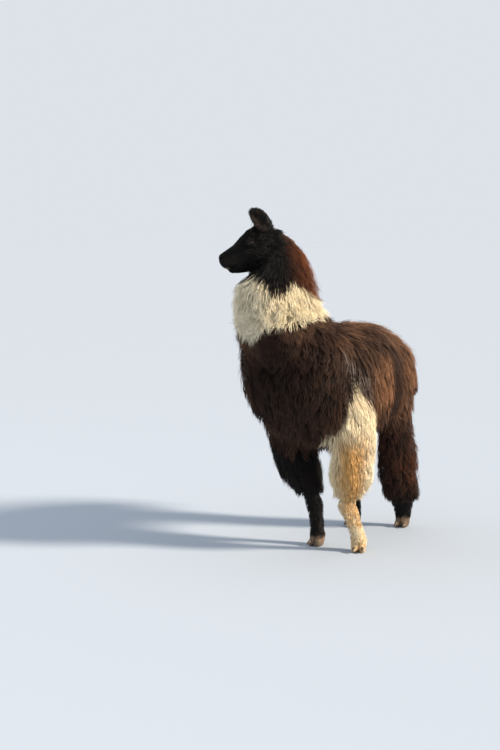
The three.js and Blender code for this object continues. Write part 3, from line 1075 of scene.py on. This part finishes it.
def lock_object(name, paths, normals, width, colours, plan, thick=0.4, blunt=0.55):
    """One mesh of closed, tapered, three-sided locks along the paths."""
    count, points = paths.shape[:2]
    rings = points - 1
    heading = unit(np.gradient(paths, axis=1))
    across = unit(np.cross(normals[:, None], heading))
    above = np.cross(heading, across)
    t = np.linspace(0, 1, points)
    taper = np.clip(blunt + (1 - blunt) * np.sin(math.pi * np.minimum(t * 1.6, 1) / 2), 0, 1)
    taper = taper * np.sqrt(np.clip(1 - t ** 2.2, 0, 1))
    half = 0.5 * width[:, None] * taper[None]
    body = []
    for j in range(3):
        angle = math.radians(90 + 120 * j)
        offset = across * math.cos(angle) + above * (math.sin(angle) * thick)
        body.append((paths + offset * half[..., None])[:, :rings])
    body = np.stack(body, 2).reshape(count, rings * 3, 3)
    verts = np.concatenate([body, paths[:, -1:]], 1)
    per = rings * 3 + 1
    quads = [(3 * k + j, 3 * k + (j + 1) % 3, 3 * k + 3 + (j + 1) % 3, 3 * k + 3 + j)
             for k in range(rings - 1) for j in range(3)]
    last = 3 * (rings - 1)
    tris = [(last + j, last + (j + 1) % 3, per - 1) for j in range(3)] + [(2, 1, 0)]
    start = (np.arange(count) * per)[:, None, None]
    quad_loops = (np.array(quads)[None] + start).reshape(count, -1)
    tri_loops = (np.array(tris)[None] + start).reshape(count, -1)
    loops = np.concatenate([quad_loops, tri_loops], 1).ravel()
    sizes = np.tile([4] * len(quads) + [3] * len(tris), count)
    mesh = bpy.data.meshes.new(name)
    mesh.vertices.add(count * per)
    mesh.vertices.foreach_set("co", verts.astype(np.float32).ravel())
    mesh.loops.add(len(loops))
    mesh.loops.foreach_set("vertex_index", loops.astype(np.int32))
    mesh.polygons.add(len(sizes))
    mesh.polygons.foreach_set("loop_start", np.concatenate([[0], np.cumsum(sizes)[:-1]]).astype(np.int32))
    mesh.polygons.foreach_set("use_smooth", np.ones(len(sizes), dtype=bool))
    mesh.update(calc_edges=True)
    spread = np.concatenate([np.repeat(colours[:, :rings], 3, axis=1), colours[:, -1:]], 1)
    store_colour(mesh, "coat", spread.reshape(-1, 3))
    u = np.concatenate([np.tile((0.0, 0.5, 1.0), rings), [0.5]]) - 0.5
    v = np.concatenate([np.repeat(t[:rings], 3), [1.0]]) - 0.5
    place = plan[:, None] + PATCH * np.stack([u, v], 1)[None]
    layer = mesh.uv_layers.new(name="OFBake")
    layer.data.foreach_set("uv", place.reshape(-1, 2)[loops].astype(np.float32).ravel())
    obj = bpy.data.objects.new(name, mesh)
    bpy.context.collection.objects.link(obj)
    if "wool" not in made:
        made["wool"] = wool_material()
    mesh.materials.append(made["wool"])
    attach(obj, "root")
    return obj


def lock_colours(root, tip, points, group, fine, rng, shade):
    """Colour along each lock: darkened towards the root by painted shade, bleached at the tip, each a little
    different.

    Pale wool lets light through, so its roots are less dark and its locks more alike."""
    count = len(root)
    pale = smooth(0.12, 0.40, tip.mean(1))
    own = 1 + 0.13 * (1 - 0.6 * pale) * rng.standard_normal(count)
    shared = 1 + 0.16 * (1 - 0.6 * pale) * rng.standard_normal(group.max() + 1)[group]
    own *= 1 + np.where(fine, 0.10, -0.14) * (1 - 0.7 * pale)
    bright = np.clip(own * shared, 0.5, 1.7)[:, None, None]
    # shade: how dark the painted shade at a lock's root is; pale wool gets less of it.
    shade = (shade + (0.92 - shade) * pale)[:, None, None]
    t = np.linspace(0, 1, points)[None, :, None]
    blend = np.clip((t - 0.15) / 0.75, 0, 1)
    colour = root[:, None] * (1 - blend) + tip[:, None] * blend
    # Painted shade: dark at the root, full colour from about half the lock's length.
    return np.clip(colour * bright * (shade + (1 - shade) * np.clip(t * 1.8, 0, 1)), 0, 1)


def filled(values, count):
    return np.broadcast_to(np.asarray(values, dtype=float), count).copy()


def coat_piece(name, choose, count, seed, spec, axis, origin, slot_name="wool", steps=4):
    """Roots, paths and mesh of one region's locks. spec says how its wool lies."""
    roots, normals, labels, rng = scatter(choose, count, seed)
    count = len(roots)
    if not count:
        raise RuntimeError(f"no skin was found for {name}")
    own = spec(roots, normals, labels, rng)
    loose = rng.random(count) < own.get("loose", 0.04)
    fine = rng.random(count) < own.get("fine", 0.55)
    length = filled(own["length"], count) * np.where(loose, 1.12, 1)
    lift = filled(own["lift"], count) * np.where(loose, 1.3, np.where(fine, 1.05, 0.82))
    free = own.get("free", np.zeros(count, dtype=bool))
    paths = grow(roots, normals, own["lie"], length, lift, filled(own["fall"], count), free, steps,
                 own.get("stiff", 0.55))
    paths, _ = clump(paths, own.get("tuft", 70), 0.28, rng)
    paths, group = clump(paths, own.get("every", 10), own.get("pull", 0.6) * np.where(loose, 0.1, 1), rng)
    phase = 2 * math.pi * rng.random(group.max() + 1)[group] + 0.9 * rng.random(count)
    turns = filled(own["turns"], count) * (0.8 + 0.4 * rng.random(count))
    crimp = filled(own["crimp"], count) * (0.5 + rng.random(count))
    paths = wave(paths, normals, crimp, turns, phase, own.get("roll", 0.45))
    root, tip = markings(paths[:, -2], labels)
    colours = lock_colours(root, tip, paths.shape[1], group, fine, rng, own.get("shade", 0.4))
    width = filled(own["width"], count) * varied(rng, count, 0.75, 1.25)
    width *= np.where(loose, 0.45, np.where(fine, 0.62, 1.2))
    obj = lock_object(name, paths, normals, width, colours, cylinder_map(roots, axis, origin))
    if len(triangles(obj.data)) >= PIECE_TRIANGLES:
        raise RuntimeError(f"{name} has too many triangles")
    return obj


def is_region(labels, *names):
    return np.isin(labels, [REGIONS.index(name) for name in names])


def coat_height(roots):
    """Distance from each root to the outline of the coat."""
    return np.minimum(nearest(made["outline"], roots)[3], DEEPEST_COAT)


def far_from_head(points):
    if "head" not in made:
        made["head"] = tree_of(frame["nodes"]["head"])
    return nearest(made["head"], points)[3]


def layered(rng, count):
    """Share of the coat's depth that each lock's tip reaches: most in the top layer, some below it."""
    return np.where(rng.random(count) < 0.3, varied(rng, count, 0.4, 0.75), varied(rng, count, 0.8, 1.1))


def varied(rng, count, low, high):
    return low + (high - low) * rng.random(count)


def body_wool(roots, normals, labels, rng):
    """Wool that parts along the back, sweeps forward over the breast and back over the haunches."""
    sizes = bpy.context.scene.llama_sizes
    count = len(roots)
    x, y, z = roots.T
    under = smooth(-0.1, -0.8, normals[:, 2])
    top = smooth(0.45, 0.95, normals[:, 2])
    sweep = np.interp(y, (-0.60, -0.42, -0.25, 0.0, 0.25, 0.5), (-0.55, -0.25, 0.0, 0.22, 0.55, 0.7))
    lie = np.stack([np.zeros(count), sweep + 0.35 * top, -np.ones(count)], 1)
    lie[:, 0] += top * np.sign(x) * 0.8
    curly = smooth(-0.30, -0.50, y) * smooth(0.88, 1.0, z)
    swirl = 0.35 + 0.75 * curly + 0.2 * top
    lie[:, 1] += swirl * noise(roots, 0.11, 21)
    lie[:, 0] += swirl * noise(roots, 0.10, 22)
    lie[:, 2] += 0.5 * curly * noise(roots, 0.07, 23)
    lie += 0.13 * rng.standard_normal((count, 3))
    length = sizes.body_lock * varied(rng, count, 0.75, 1.25) * (1 - 0.35 * under) * (1 - 0.25 * top)
    length *= 1 - 0.35 * curly
    flank = smooth(0.02, 0.07, y) * smooth(0.32, 0.18, y) * smooth(1.08, 0.95, z)
    lift = coat_height(roots) * layered(rng, count) * (1 - 0.6 * flank)
    return {"lie": lie, "length": length, "lift": lift, "fall": 0.55 * (1 - curly),
            "crimp": 0.0055 + 0.0030 * curly, "turns": 1.5 + 0.7 * curly, "width": 0.0050, "every": 9,
            "pull": 0.62, "loose": 0.12}


class LLAMA_OT_body_wool(bpy.types.Operator):
    """Grows the long locks of the trunk, in pieces from breast to rump"""
    bl_idname = "llama.body_wool"
    bl_label = "Body wool"

    def execute(self, context):
        parts = (("wool_breast", -9, -0.27, 6000), ("wool_barrel", -0.27, 0.12, 5950),
                 ("wool_rump", 0.12, 9, 5400))
        for index, (name, low, high, count) in enumerate(parts):
            def choose(p, n, labels, low=low, high=high):
                return is_region(labels, "trunk") * (p[:, 1] >= low) * (p[:, 1] < high)
            coat_piece(name, choose, count, 100 + index, body_wool, (0, 1, 0), (0.01, 0, 0.84), "wool", 5)
        return {"FINISHED"}


def collar_wool(roots, normals, labels, rng):
    """Fluffy wool in short ringlets that stands well out from the neck."""
    sizes = bpy.context.scene.llama_sizes
    count = len(roots)
    lie = np.tile((0.0, 0.05, -0.8), (count, 1)) + 0.35 * rng.standard_normal((count, 3))
    swirl = np.stack([noise(roots, 0.045, 31), noise(roots, 0.045, 32), noise(roots, 0.045, 33)], 1)
    lie += 1.0 * swirl + normals * 0.45
    return {"lie": lie, "length": sizes.collar_lock * varied(rng, count, 0.7, 1.3),
            "lift": 1.1 * coat_height(roots) * layered(rng, count), "fall": 0.2, "crimp": 0.0060,
            "turns": 1.25, "roll": 0.6, "width": 0.0042, "every": 9, "pull": 0.62, "loose": 0.14,
            "fine": 0.65}


def nape_wool(roots, normals, labels, rng):
    """Straighter locks that hang from the poll over the upper neck."""
    sizes = bpy.context.scene.llama_sizes
    count = len(roots)
    lie = np.tile((0.0, 0.06, -1.0), (count, 1)) + 0.16 * rng.standard_normal((count, 3))
    lie[:, 0] += 0.3 * noise(roots, 0.06, 34)
    lie[:, 1] += 0.3 * noise(roots, 0.06, 35)
    crown = smooth(1.50, 1.57, roots[:, 2])
    local = to_head(roots)
    lie = mix(lie, HEAD_AXES @ (0, 1, 0.2) + 0.2 * rng.standard_normal((count, 3)), crown)
    beside = smooth(0.08, 0.01, far_from_head(roots)) * smooth(0.055, 0.01, local[:, 2])
    beside *= smooth(-0.14, -0.08, local[:, 2])
    flat = smooth(0.35, 0.85, normals[:, 2])
    lift = (1.4 - crown * (0.3 + 0.4 * flat)) * coat_height(roots) * layered(rng, count)
    lift = (lift + 0.010 * (1 - crown)) * (1 - 0.7 * beside)
    length = sizes.nape_lock * varied(rng, count, 0.7, 1.3) * (1 - 0.35 * crown) * (1 - 0.4 * beside)
    return {"lie": lie, "length": length, "lift": lift, "fall": 0.4, "crimp": 0.0045,
            "turns": 1.7, "width": 0.0042, "every": 8, "pull": 0.6, "loose": 0.12}


class LLAMA_OT_neck_wool(bpy.types.Operator):
    """Grows the fluffy wool of the collar and the hanging wool of the upper neck"""
    bl_idname = "llama.neck_wool"
    bl_label = "Neck wool"

    def execute(self, context):
        parts = (("wool_collar", 0.0, 1.29, 8750, 200, collar_wool, 4),
                 ("wool_nape", 1.29, 9, 5950, 201, nape_wool, 5))
        for name, low, high, count, seed, spec, steps in parts:
            def choose(p, n, labels, low=low, high=high):
                crowded = 1 + 1.2 * smooth(1.50, 1.56, p[:, 2])
                return is_region(labels, "neck") * (p[:, 2] >= low) * (p[:, 2] < high) * crowded
            coat_piece(name, choose, count, seed, spec, (0, 0, 1), (*NECK_AXIS, 0), "wool", steps)
        return {"FINISHED"}


def leg_wool(roots, normals, labels, rng):
    """Wool that hangs down the leg and ends in a fringe at the knee or hock."""
    sizes = bpy.context.scene.llama_sizes
    count = len(roots)
    hind = is_region(labels, "hindleg_left", "hindleg_right").astype(float)
    lie = np.tile((0.0, 0.10, -1.0), (count, 1)) + 0.13 * rng.standard_normal((count, 3))
    lie[:, 0] += (0.2 + 0.5 * hind) * noise(roots, 0.06, 41)
    lie[:, 1] += (0.2 + 0.5 * hind) * noise(roots, 0.06, 42)
    end = np.array([WOOL_ENDS.get(REGIONS[label], 0) for label in labels])
    room = roots[:, 2] - end
    length = np.minimum(sizes.leg_lock * varied(rng, count, 0.75, 1.3) * (1 - 0.2 * hind),
                        np.maximum(room, 0.02) * varied(rng, count, 0.9, 1.15) + 0.008)
    fringe = smooth(0.12, 0.03, room)
    lie += fringe[:, None] * (0.3 * normals + (0, 0.25, 0))
    lift = coat_height(roots) * layered(rng, count) + 0.010 * fringe * rng.random(count)
    return {"lie": lie, "length": length, "lift": lift, "fall": 0.55, "crimp": 0.0036 + 0.0026 * hind,
            "turns": 1.3 + 0.5 * hind, "width": 0.0046, "every": 9, "pull": 0.62, "loose": 0.10}


def shank_hair(roots, normals, labels, rng):
    """Short hair under knee and hock, shortest on the toes."""
    sizes = bpy.context.scene.llama_sizes
    count = len(roots)
    z = roots[:, 2]
    lie = np.tile((0.0, 0.0, -1.0), (count, 1)) + 0.18 * rng.standard_normal((count, 3))
    toe = smooth(0.10, 0.03, z)
    rough = smooth(0.10, 0.22, z)
    length = sizes.shank_hair * varied(rng, count, 0.7, 1.3) * (1 - 0.6 * toe + 0.2 * rough)
    return {"lie": lie, "length": length,
            "lift": (0.0012 + 0.0045 * (1 - toe) + 0.002 * rough) * varied(rng, count, 0.4, 1.0), "fall": 0.2,
            "crimp": 0.0006, "turns": 0.6, "width": 0.0034 - 0.0008 * toe, "every": 6, "pull": 0.4,
            "shade": 0.6, "fine": 0.3}


class LLAMA_OT_leg_wool(bpy.types.Operator):
    """Grows the wool of each leg and the short hair of its shank and toes"""
    bl_idname = "llama.leg_wool"
    bl_label = "Leg wool"

    def execute(self, context):
        for index, leg in enumerate(LEGS):
            end = WOOL_ENDS[leg] + 0.02
            middle = leg_middle(leg, np.array([0.4]))[0]
            slot_name = "pale_wool" if leg == "foreleg_left" else "wool"

            def woolly(p, n, labels):
                return is_region(labels, leg) * (p[:, 2] >= end)

            def bare(p, n, labels):
                crowded = 1 + 1.5 * smooth(0.09, 0.06, p[:, 2])
                return is_region(labels, leg) * (p[:, 2] < end + 0.03) * crowded * (p[:, 2] > 0.003)

            steps = 5 if leg.startswith("hind") else 4
            upright = (0, 0, 1), (*middle, 0)
            coat_piece(f"wool_{leg}", woolly, 3350, 300 + index, leg_wool, *upright, slot_name, steps)
            coat_piece(f"hair_{leg}", bare, 2450, 320 + index, shank_hair, *upright, slot_name, 2)
        return {"FINISHED"}


def tail_wool(roots, normals, labels, rng):
    """The hanging tuft of the tail."""
    sizes = bpy.context.scene.llama_sizes
    count = len(roots)
    lie = np.tile((0.30, 0.20, -1.0), (count, 1)) + 0.22 * rng.standard_normal((count, 3))
    length = sizes.tail_lock * varied(rng, count, 0.6, 1.1) * smooth(0.68, 0.86, roots[:, 2]) + 0.02
    return {"lie": lie, "length": length, "lift": coat_height(roots) * layered(rng, count), "fall": 0.4,
            "crimp": 0.004, "turns": 1.4, "width": 0.0046, "loose": 0.08}


class LLAMA_OT_tail_wool(bpy.types.Operator):
    """Grows the tuft of the tail"""
    bl_idname = "llama.tail_wool"
    bl_label = "Tail wool"

    def execute(self, context):
        coat_piece("wool_tail", lambda p, n, labels: is_region(labels, "tail"), 1800, 400, tail_wool,
                   (0, 0, 1), (0.05, 0.66, 0))
        return {"FINISHED"}


def face_hair(roots, normals, labels, rng):
    """Velvet on the muzzle that lengthens to a shaggy forelock, cheeks and a ruff over the neck."""
    sizes = bpy.context.scene.llama_sizes
    count = len(roots)
    local = to_head(roots)
    ear = is_region(labels, "ear_left", "ear_right")
    crown = smooth(-0.09, -0.03, local[:, 1]) * smooth(0.045, 0.07, local[:, 2])
    cheek = smooth(-0.11, 0.0, local[:, 1]) * smooth(0.04, -0.03, local[:, 2])
    ruff = smooth(-0.01, 0.04, local[:, 1])
    chin = smooth(-0.10, -0.16, local[:, 1]) * smooth(-0.02, -0.045, local[:, 2])
    lid = smooth(0.034, 0.018, near_eye(roots))
    flow = np.tile((0.0, 1.0, -0.30), (count, 1))
    flow[:, 2] += 0.9 * crown * (1 - ruff) - 0.7 * cheek - 0.5 * chin - 0.3 * ruff
    flow[:, 1] -= 0.3 * crown
    shaggy = np.maximum(crown, cheek)
    lie = flow @ HEAD_AXES.T + (0.12 + 0.16 * shaggy[:, None]) * rng.standard_normal((count, 3))
    upright = np.array((0.0, -0.10, 1.0)) @ HEAD_AXES.T
    rim = unit(tangent(np.tile(upright, (count, 1)), normals) + 0.35 * normals)
    lie = np.where(ear[:, None], rim + 0.15 * rng.standard_normal((count, 3)), lie)
    back = smooth(-0.16, -0.03, local[:, 1])
    length = 0.40 + 0.9 * back + 1.1 * shaggy + 0.5 * chin + 1.3 * ruff
    length = sizes.face_hair * length * varied(rng, count, 0.7, 1.3) * (1 - 0.6 * lid)
    length = np.where(ear, sizes.face_hair * varied(rng, count, 0.45, 0.85), length)
    outside = coat_height(roots)
    height = 0.0013 + np.maximum(outside - 0.002, 0) * (0.45 + 0.55 * back) + 0.003 * chin
    height += 0.003 * cheek + 0.004 * crown + 0.006 * ruff
    lift = height * layered(rng, count) * (1 - 0.7 * lid)
    width = np.where(ear, 0.0016, (0.0020 + 0.0014 * back + 0.0010 * shaggy) * (1 - 0.5 * lid))
    return {"lie": lie, "length": length, "lift": lift, "fall": 0.1, "free": ear,
            "crimp": 0.0003 + 0.0018 * np.maximum(shaggy, ruff), "turns": 1.0, "width": width, "every": 8,
            "pull": np.where(ear, 0.2, 0.45), "shade": 0.55, "loose": 0.07, "fine": 0.4}


def lashes():
    """Long lashes along the upper lids, fanned outwards and drooping."""
    rng = np.random.default_rng(520)
    count = 110
    paths, normals = [], []
    for sign in (1, -1):
        centre, out, fore, up = eye_frame(sign)
        u = np.linspace(-0.0125, 0.0128, count)
        v = lid_edges(u)[0] + 0.0004
        w = np.sqrt((EYE_RADIUS + 0.0022) ** 2 - u ** 2 - v ** 2)
        root = centre + u[:, None] * fore + v[:, None] * up + w[:, None] * out
        reach = LASH * varied(rng, count, 0.7, 1.15)[:, None]
        fan = u[:, None] / 0.016 * fore + 0.12 * rng.standard_normal((count, 3))
        steps = [root - 0.001 * out]
        for share, droop in ((0.35, 0.10), (0.7, -0.22), (1.0, -0.30)):
            steps.append(root + reach * share * unit(out + 0.6 * fan + droop * up))
        paths.append(np.stack(steps, 1))
        normals.append(np.tile(up, (count, 1)))
    paths, normals = np.concatenate(paths), np.concatenate(normals)
    colours = np.tile(linear("#0a0807"), (len(paths), paths.shape[1], 1))
    plan = cylinder_map(paths[:, 0], HEAD_LONG, HEAD.translation)
    lock_object("eyelashes", paths, normals, filled(0.0007, len(paths)), colours, plan)


class LLAMA_OT_face_hair(bpy.types.Operator):
    """Lays short hair over the head and ears"""
    bl_idname = "llama.face_hair"
    bl_label = "Face hair"

    def execute(self, context):
        def choose(p, n, labels):
            local = to_head(p)
            clear = np.ones(len(p), dtype=bool)
            for sign in (1, -1):
                centre, _, fore, up = eye_frame(sign)
                u, v = (p - centre) @ fore, (p - centre) @ up
                upper, lower = lid_edges(u)
                outside = (v > upper + 0.0015) | (v < lower - 0.0015) | (np.abs(u) > 0.016)
                clear &= (near_eye(p) > 0.03) | outside
            nose = local[:, 1] > -0.224
            crowded = 1 + 1.2 * smooth(-0.13, -0.16, local[:, 1])
            return is_region(labels, *HEAD_NODES) * clear * nose * crowded

        def short(p, n, labels):
            return choose(p, n, labels) * (to_head(p)[:, 1] < -0.06)

        def shaggy(p, n, labels):
            return choose(p, n, labels) * (to_head(p)[:, 1] >= -0.06)

        coat_piece("hair_face", short, 9000, 500, face_hair, HEAD_LONG, HEAD.translation, "face", 2)
        coat_piece("hair_crown", shaggy, 5600, 501, face_hair, HEAD_LONG, HEAD.translation, "face", 3)
        lashes()
        return {"FINISHED"}


# Stage -----------------------------------------------------------------------------------------

EYE_LEVEL = 1.55  # height of the lens over the ground
CAMERA_PLACE = (3.129, -6.304, EYE_LEVEL)
CAMERA_TURN = math.radians(30)
CAMERA_DIP = math.radians(5.508)
LENS = 67.2
# Each light: its kind, place, size, strength and colour. The key comes from the animal's left, a little
# behind it.
LIGHTS = (("SUN", (5.6, 0.9, 3.6), math.radians(9), 7.5, "#fff0dc"),
          ("AREA", (1.2, -6.2, 4.2), 4.0, 38, "#ffffff"),
          ("AREA", (-5.0, -2.0, 3.4), 3.5, 26, "#eef3ff"))
LIGHT_AIM = Vector((0, 0, 0.8))
FLOOR_COLOUR = "#abb4bf"
SKY_COLOUR = "#e6ebf2"
SKY_STRENGTH = 0.92


class LLAMA_OT_stage(bpy.types.Operator):
    """Sets the pale floor, the soft lights and the camera"""
    bl_idname = "llama.stage"
    bl_label = "Stage"

    def execute(self, context):
        deselect()
        bpy.ops.mesh.primitive_plane_add(size=400)
        floor = context.object
        floor.name = "floor"
        material = new_material("pale_floor")
        # Matt painted board: even, with no gloss.
        shader = add_node(material, "ShaderNodeBsdfPrincipled",
                          {"Base Color": (*linear(FLOOR_COLOUR), 1), "Roughness": 1.0,
                           "Specular IOR Level": 0.0})
        floor.data.materials.append(finish_material(material, shader))
        world = bpy.data.worlds.new("studio")
        context.scene.world = world
        world.use_nodes = True
        sky = world.node_tree.nodes["Background"]
        sky.inputs["Color"].default_value = (*linear(SKY_COLOUR), 1)
        sky.inputs["Strength"].default_value = SKY_STRENGTH
        for kind, place, size, power, colour in LIGHTS:
            aim = (LIGHT_AIM - Vector(place)).to_track_quat("-Z", "Y").to_euler()
            bpy.ops.object.light_add(type=kind, location=place, rotation=aim)
            light = context.object.data
            setattr(light, "angle" if kind == "SUN" else "size", size)
            light.energy = power
            light.color = linear(colour)
        context.scene.view_settings.view_transform = "Standard"
        bpy.ops.object.camera_add(location=CAMERA_PLACE, rotation=(math.pi / 2 - CAMERA_DIP, 0, CAMERA_TURN))
        camera = context.object
        camera.data.lens = LENS
        camera.data.sensor_width = 36
        context.scene.camera = camera
        return {"FINISHED"}


OPERATORS = (LLAMA_OT_skin, LLAMA_OT_eyes, LLAMA_OT_nails, LLAMA_OT_body_wool, LLAMA_OT_neck_wool,
             LLAMA_OT_leg_wool, LLAMA_OT_tail_wool, LLAMA_OT_face_hair, LLAMA_OT_stage)


class LLAMA_PT_panel(bpy.types.Panel):
    """Lists the llama's sizes, colours and pieces in the order they are made"""
    bl_idname = "LLAMA_PT_panel"
    bl_label = "Llama"
    bl_space_type = "VIEW_3D"
    bl_region_type = "UI"
    bl_category = "Llama"

    def draw(self, context):
        scene = context.scene
        for group, kind in ((scene.llama_sizes, LlamaSizes), (scene.llama_colours, LlamaColours)):
            for key in kind.__annotations__:
                self.layout.prop(group, key)
        for operator in OPERATORS:
            self.layout.operator(operator.bl_idname)


CLASSES = (LlamaSizes, LlamaColours, *OPERATORS, LLAMA_PT_panel)


def register():
    for cls in CLASSES:
        bpy.utils.register_class(cls)
    bpy.types.Scene.llama_sizes = bpy.props.PointerProperty(type=LlamaSizes)
    bpy.types.Scene.llama_colours = bpy.props.PointerProperty(type=LlamaColours)


def unregister():
    del bpy.types.Scene.llama_colours
    del bpy.types.Scene.llama_sizes
    for cls in reversed(CLASSES):
        bpy.utils.unregister_class(cls)


def main():
    register()
    for operator in OPERATORS:
        group, name = operator.bl_idname.split(".")
        getattr(getattr(bpy.ops, group), name)()


if __name__ == "__main__":
    main()
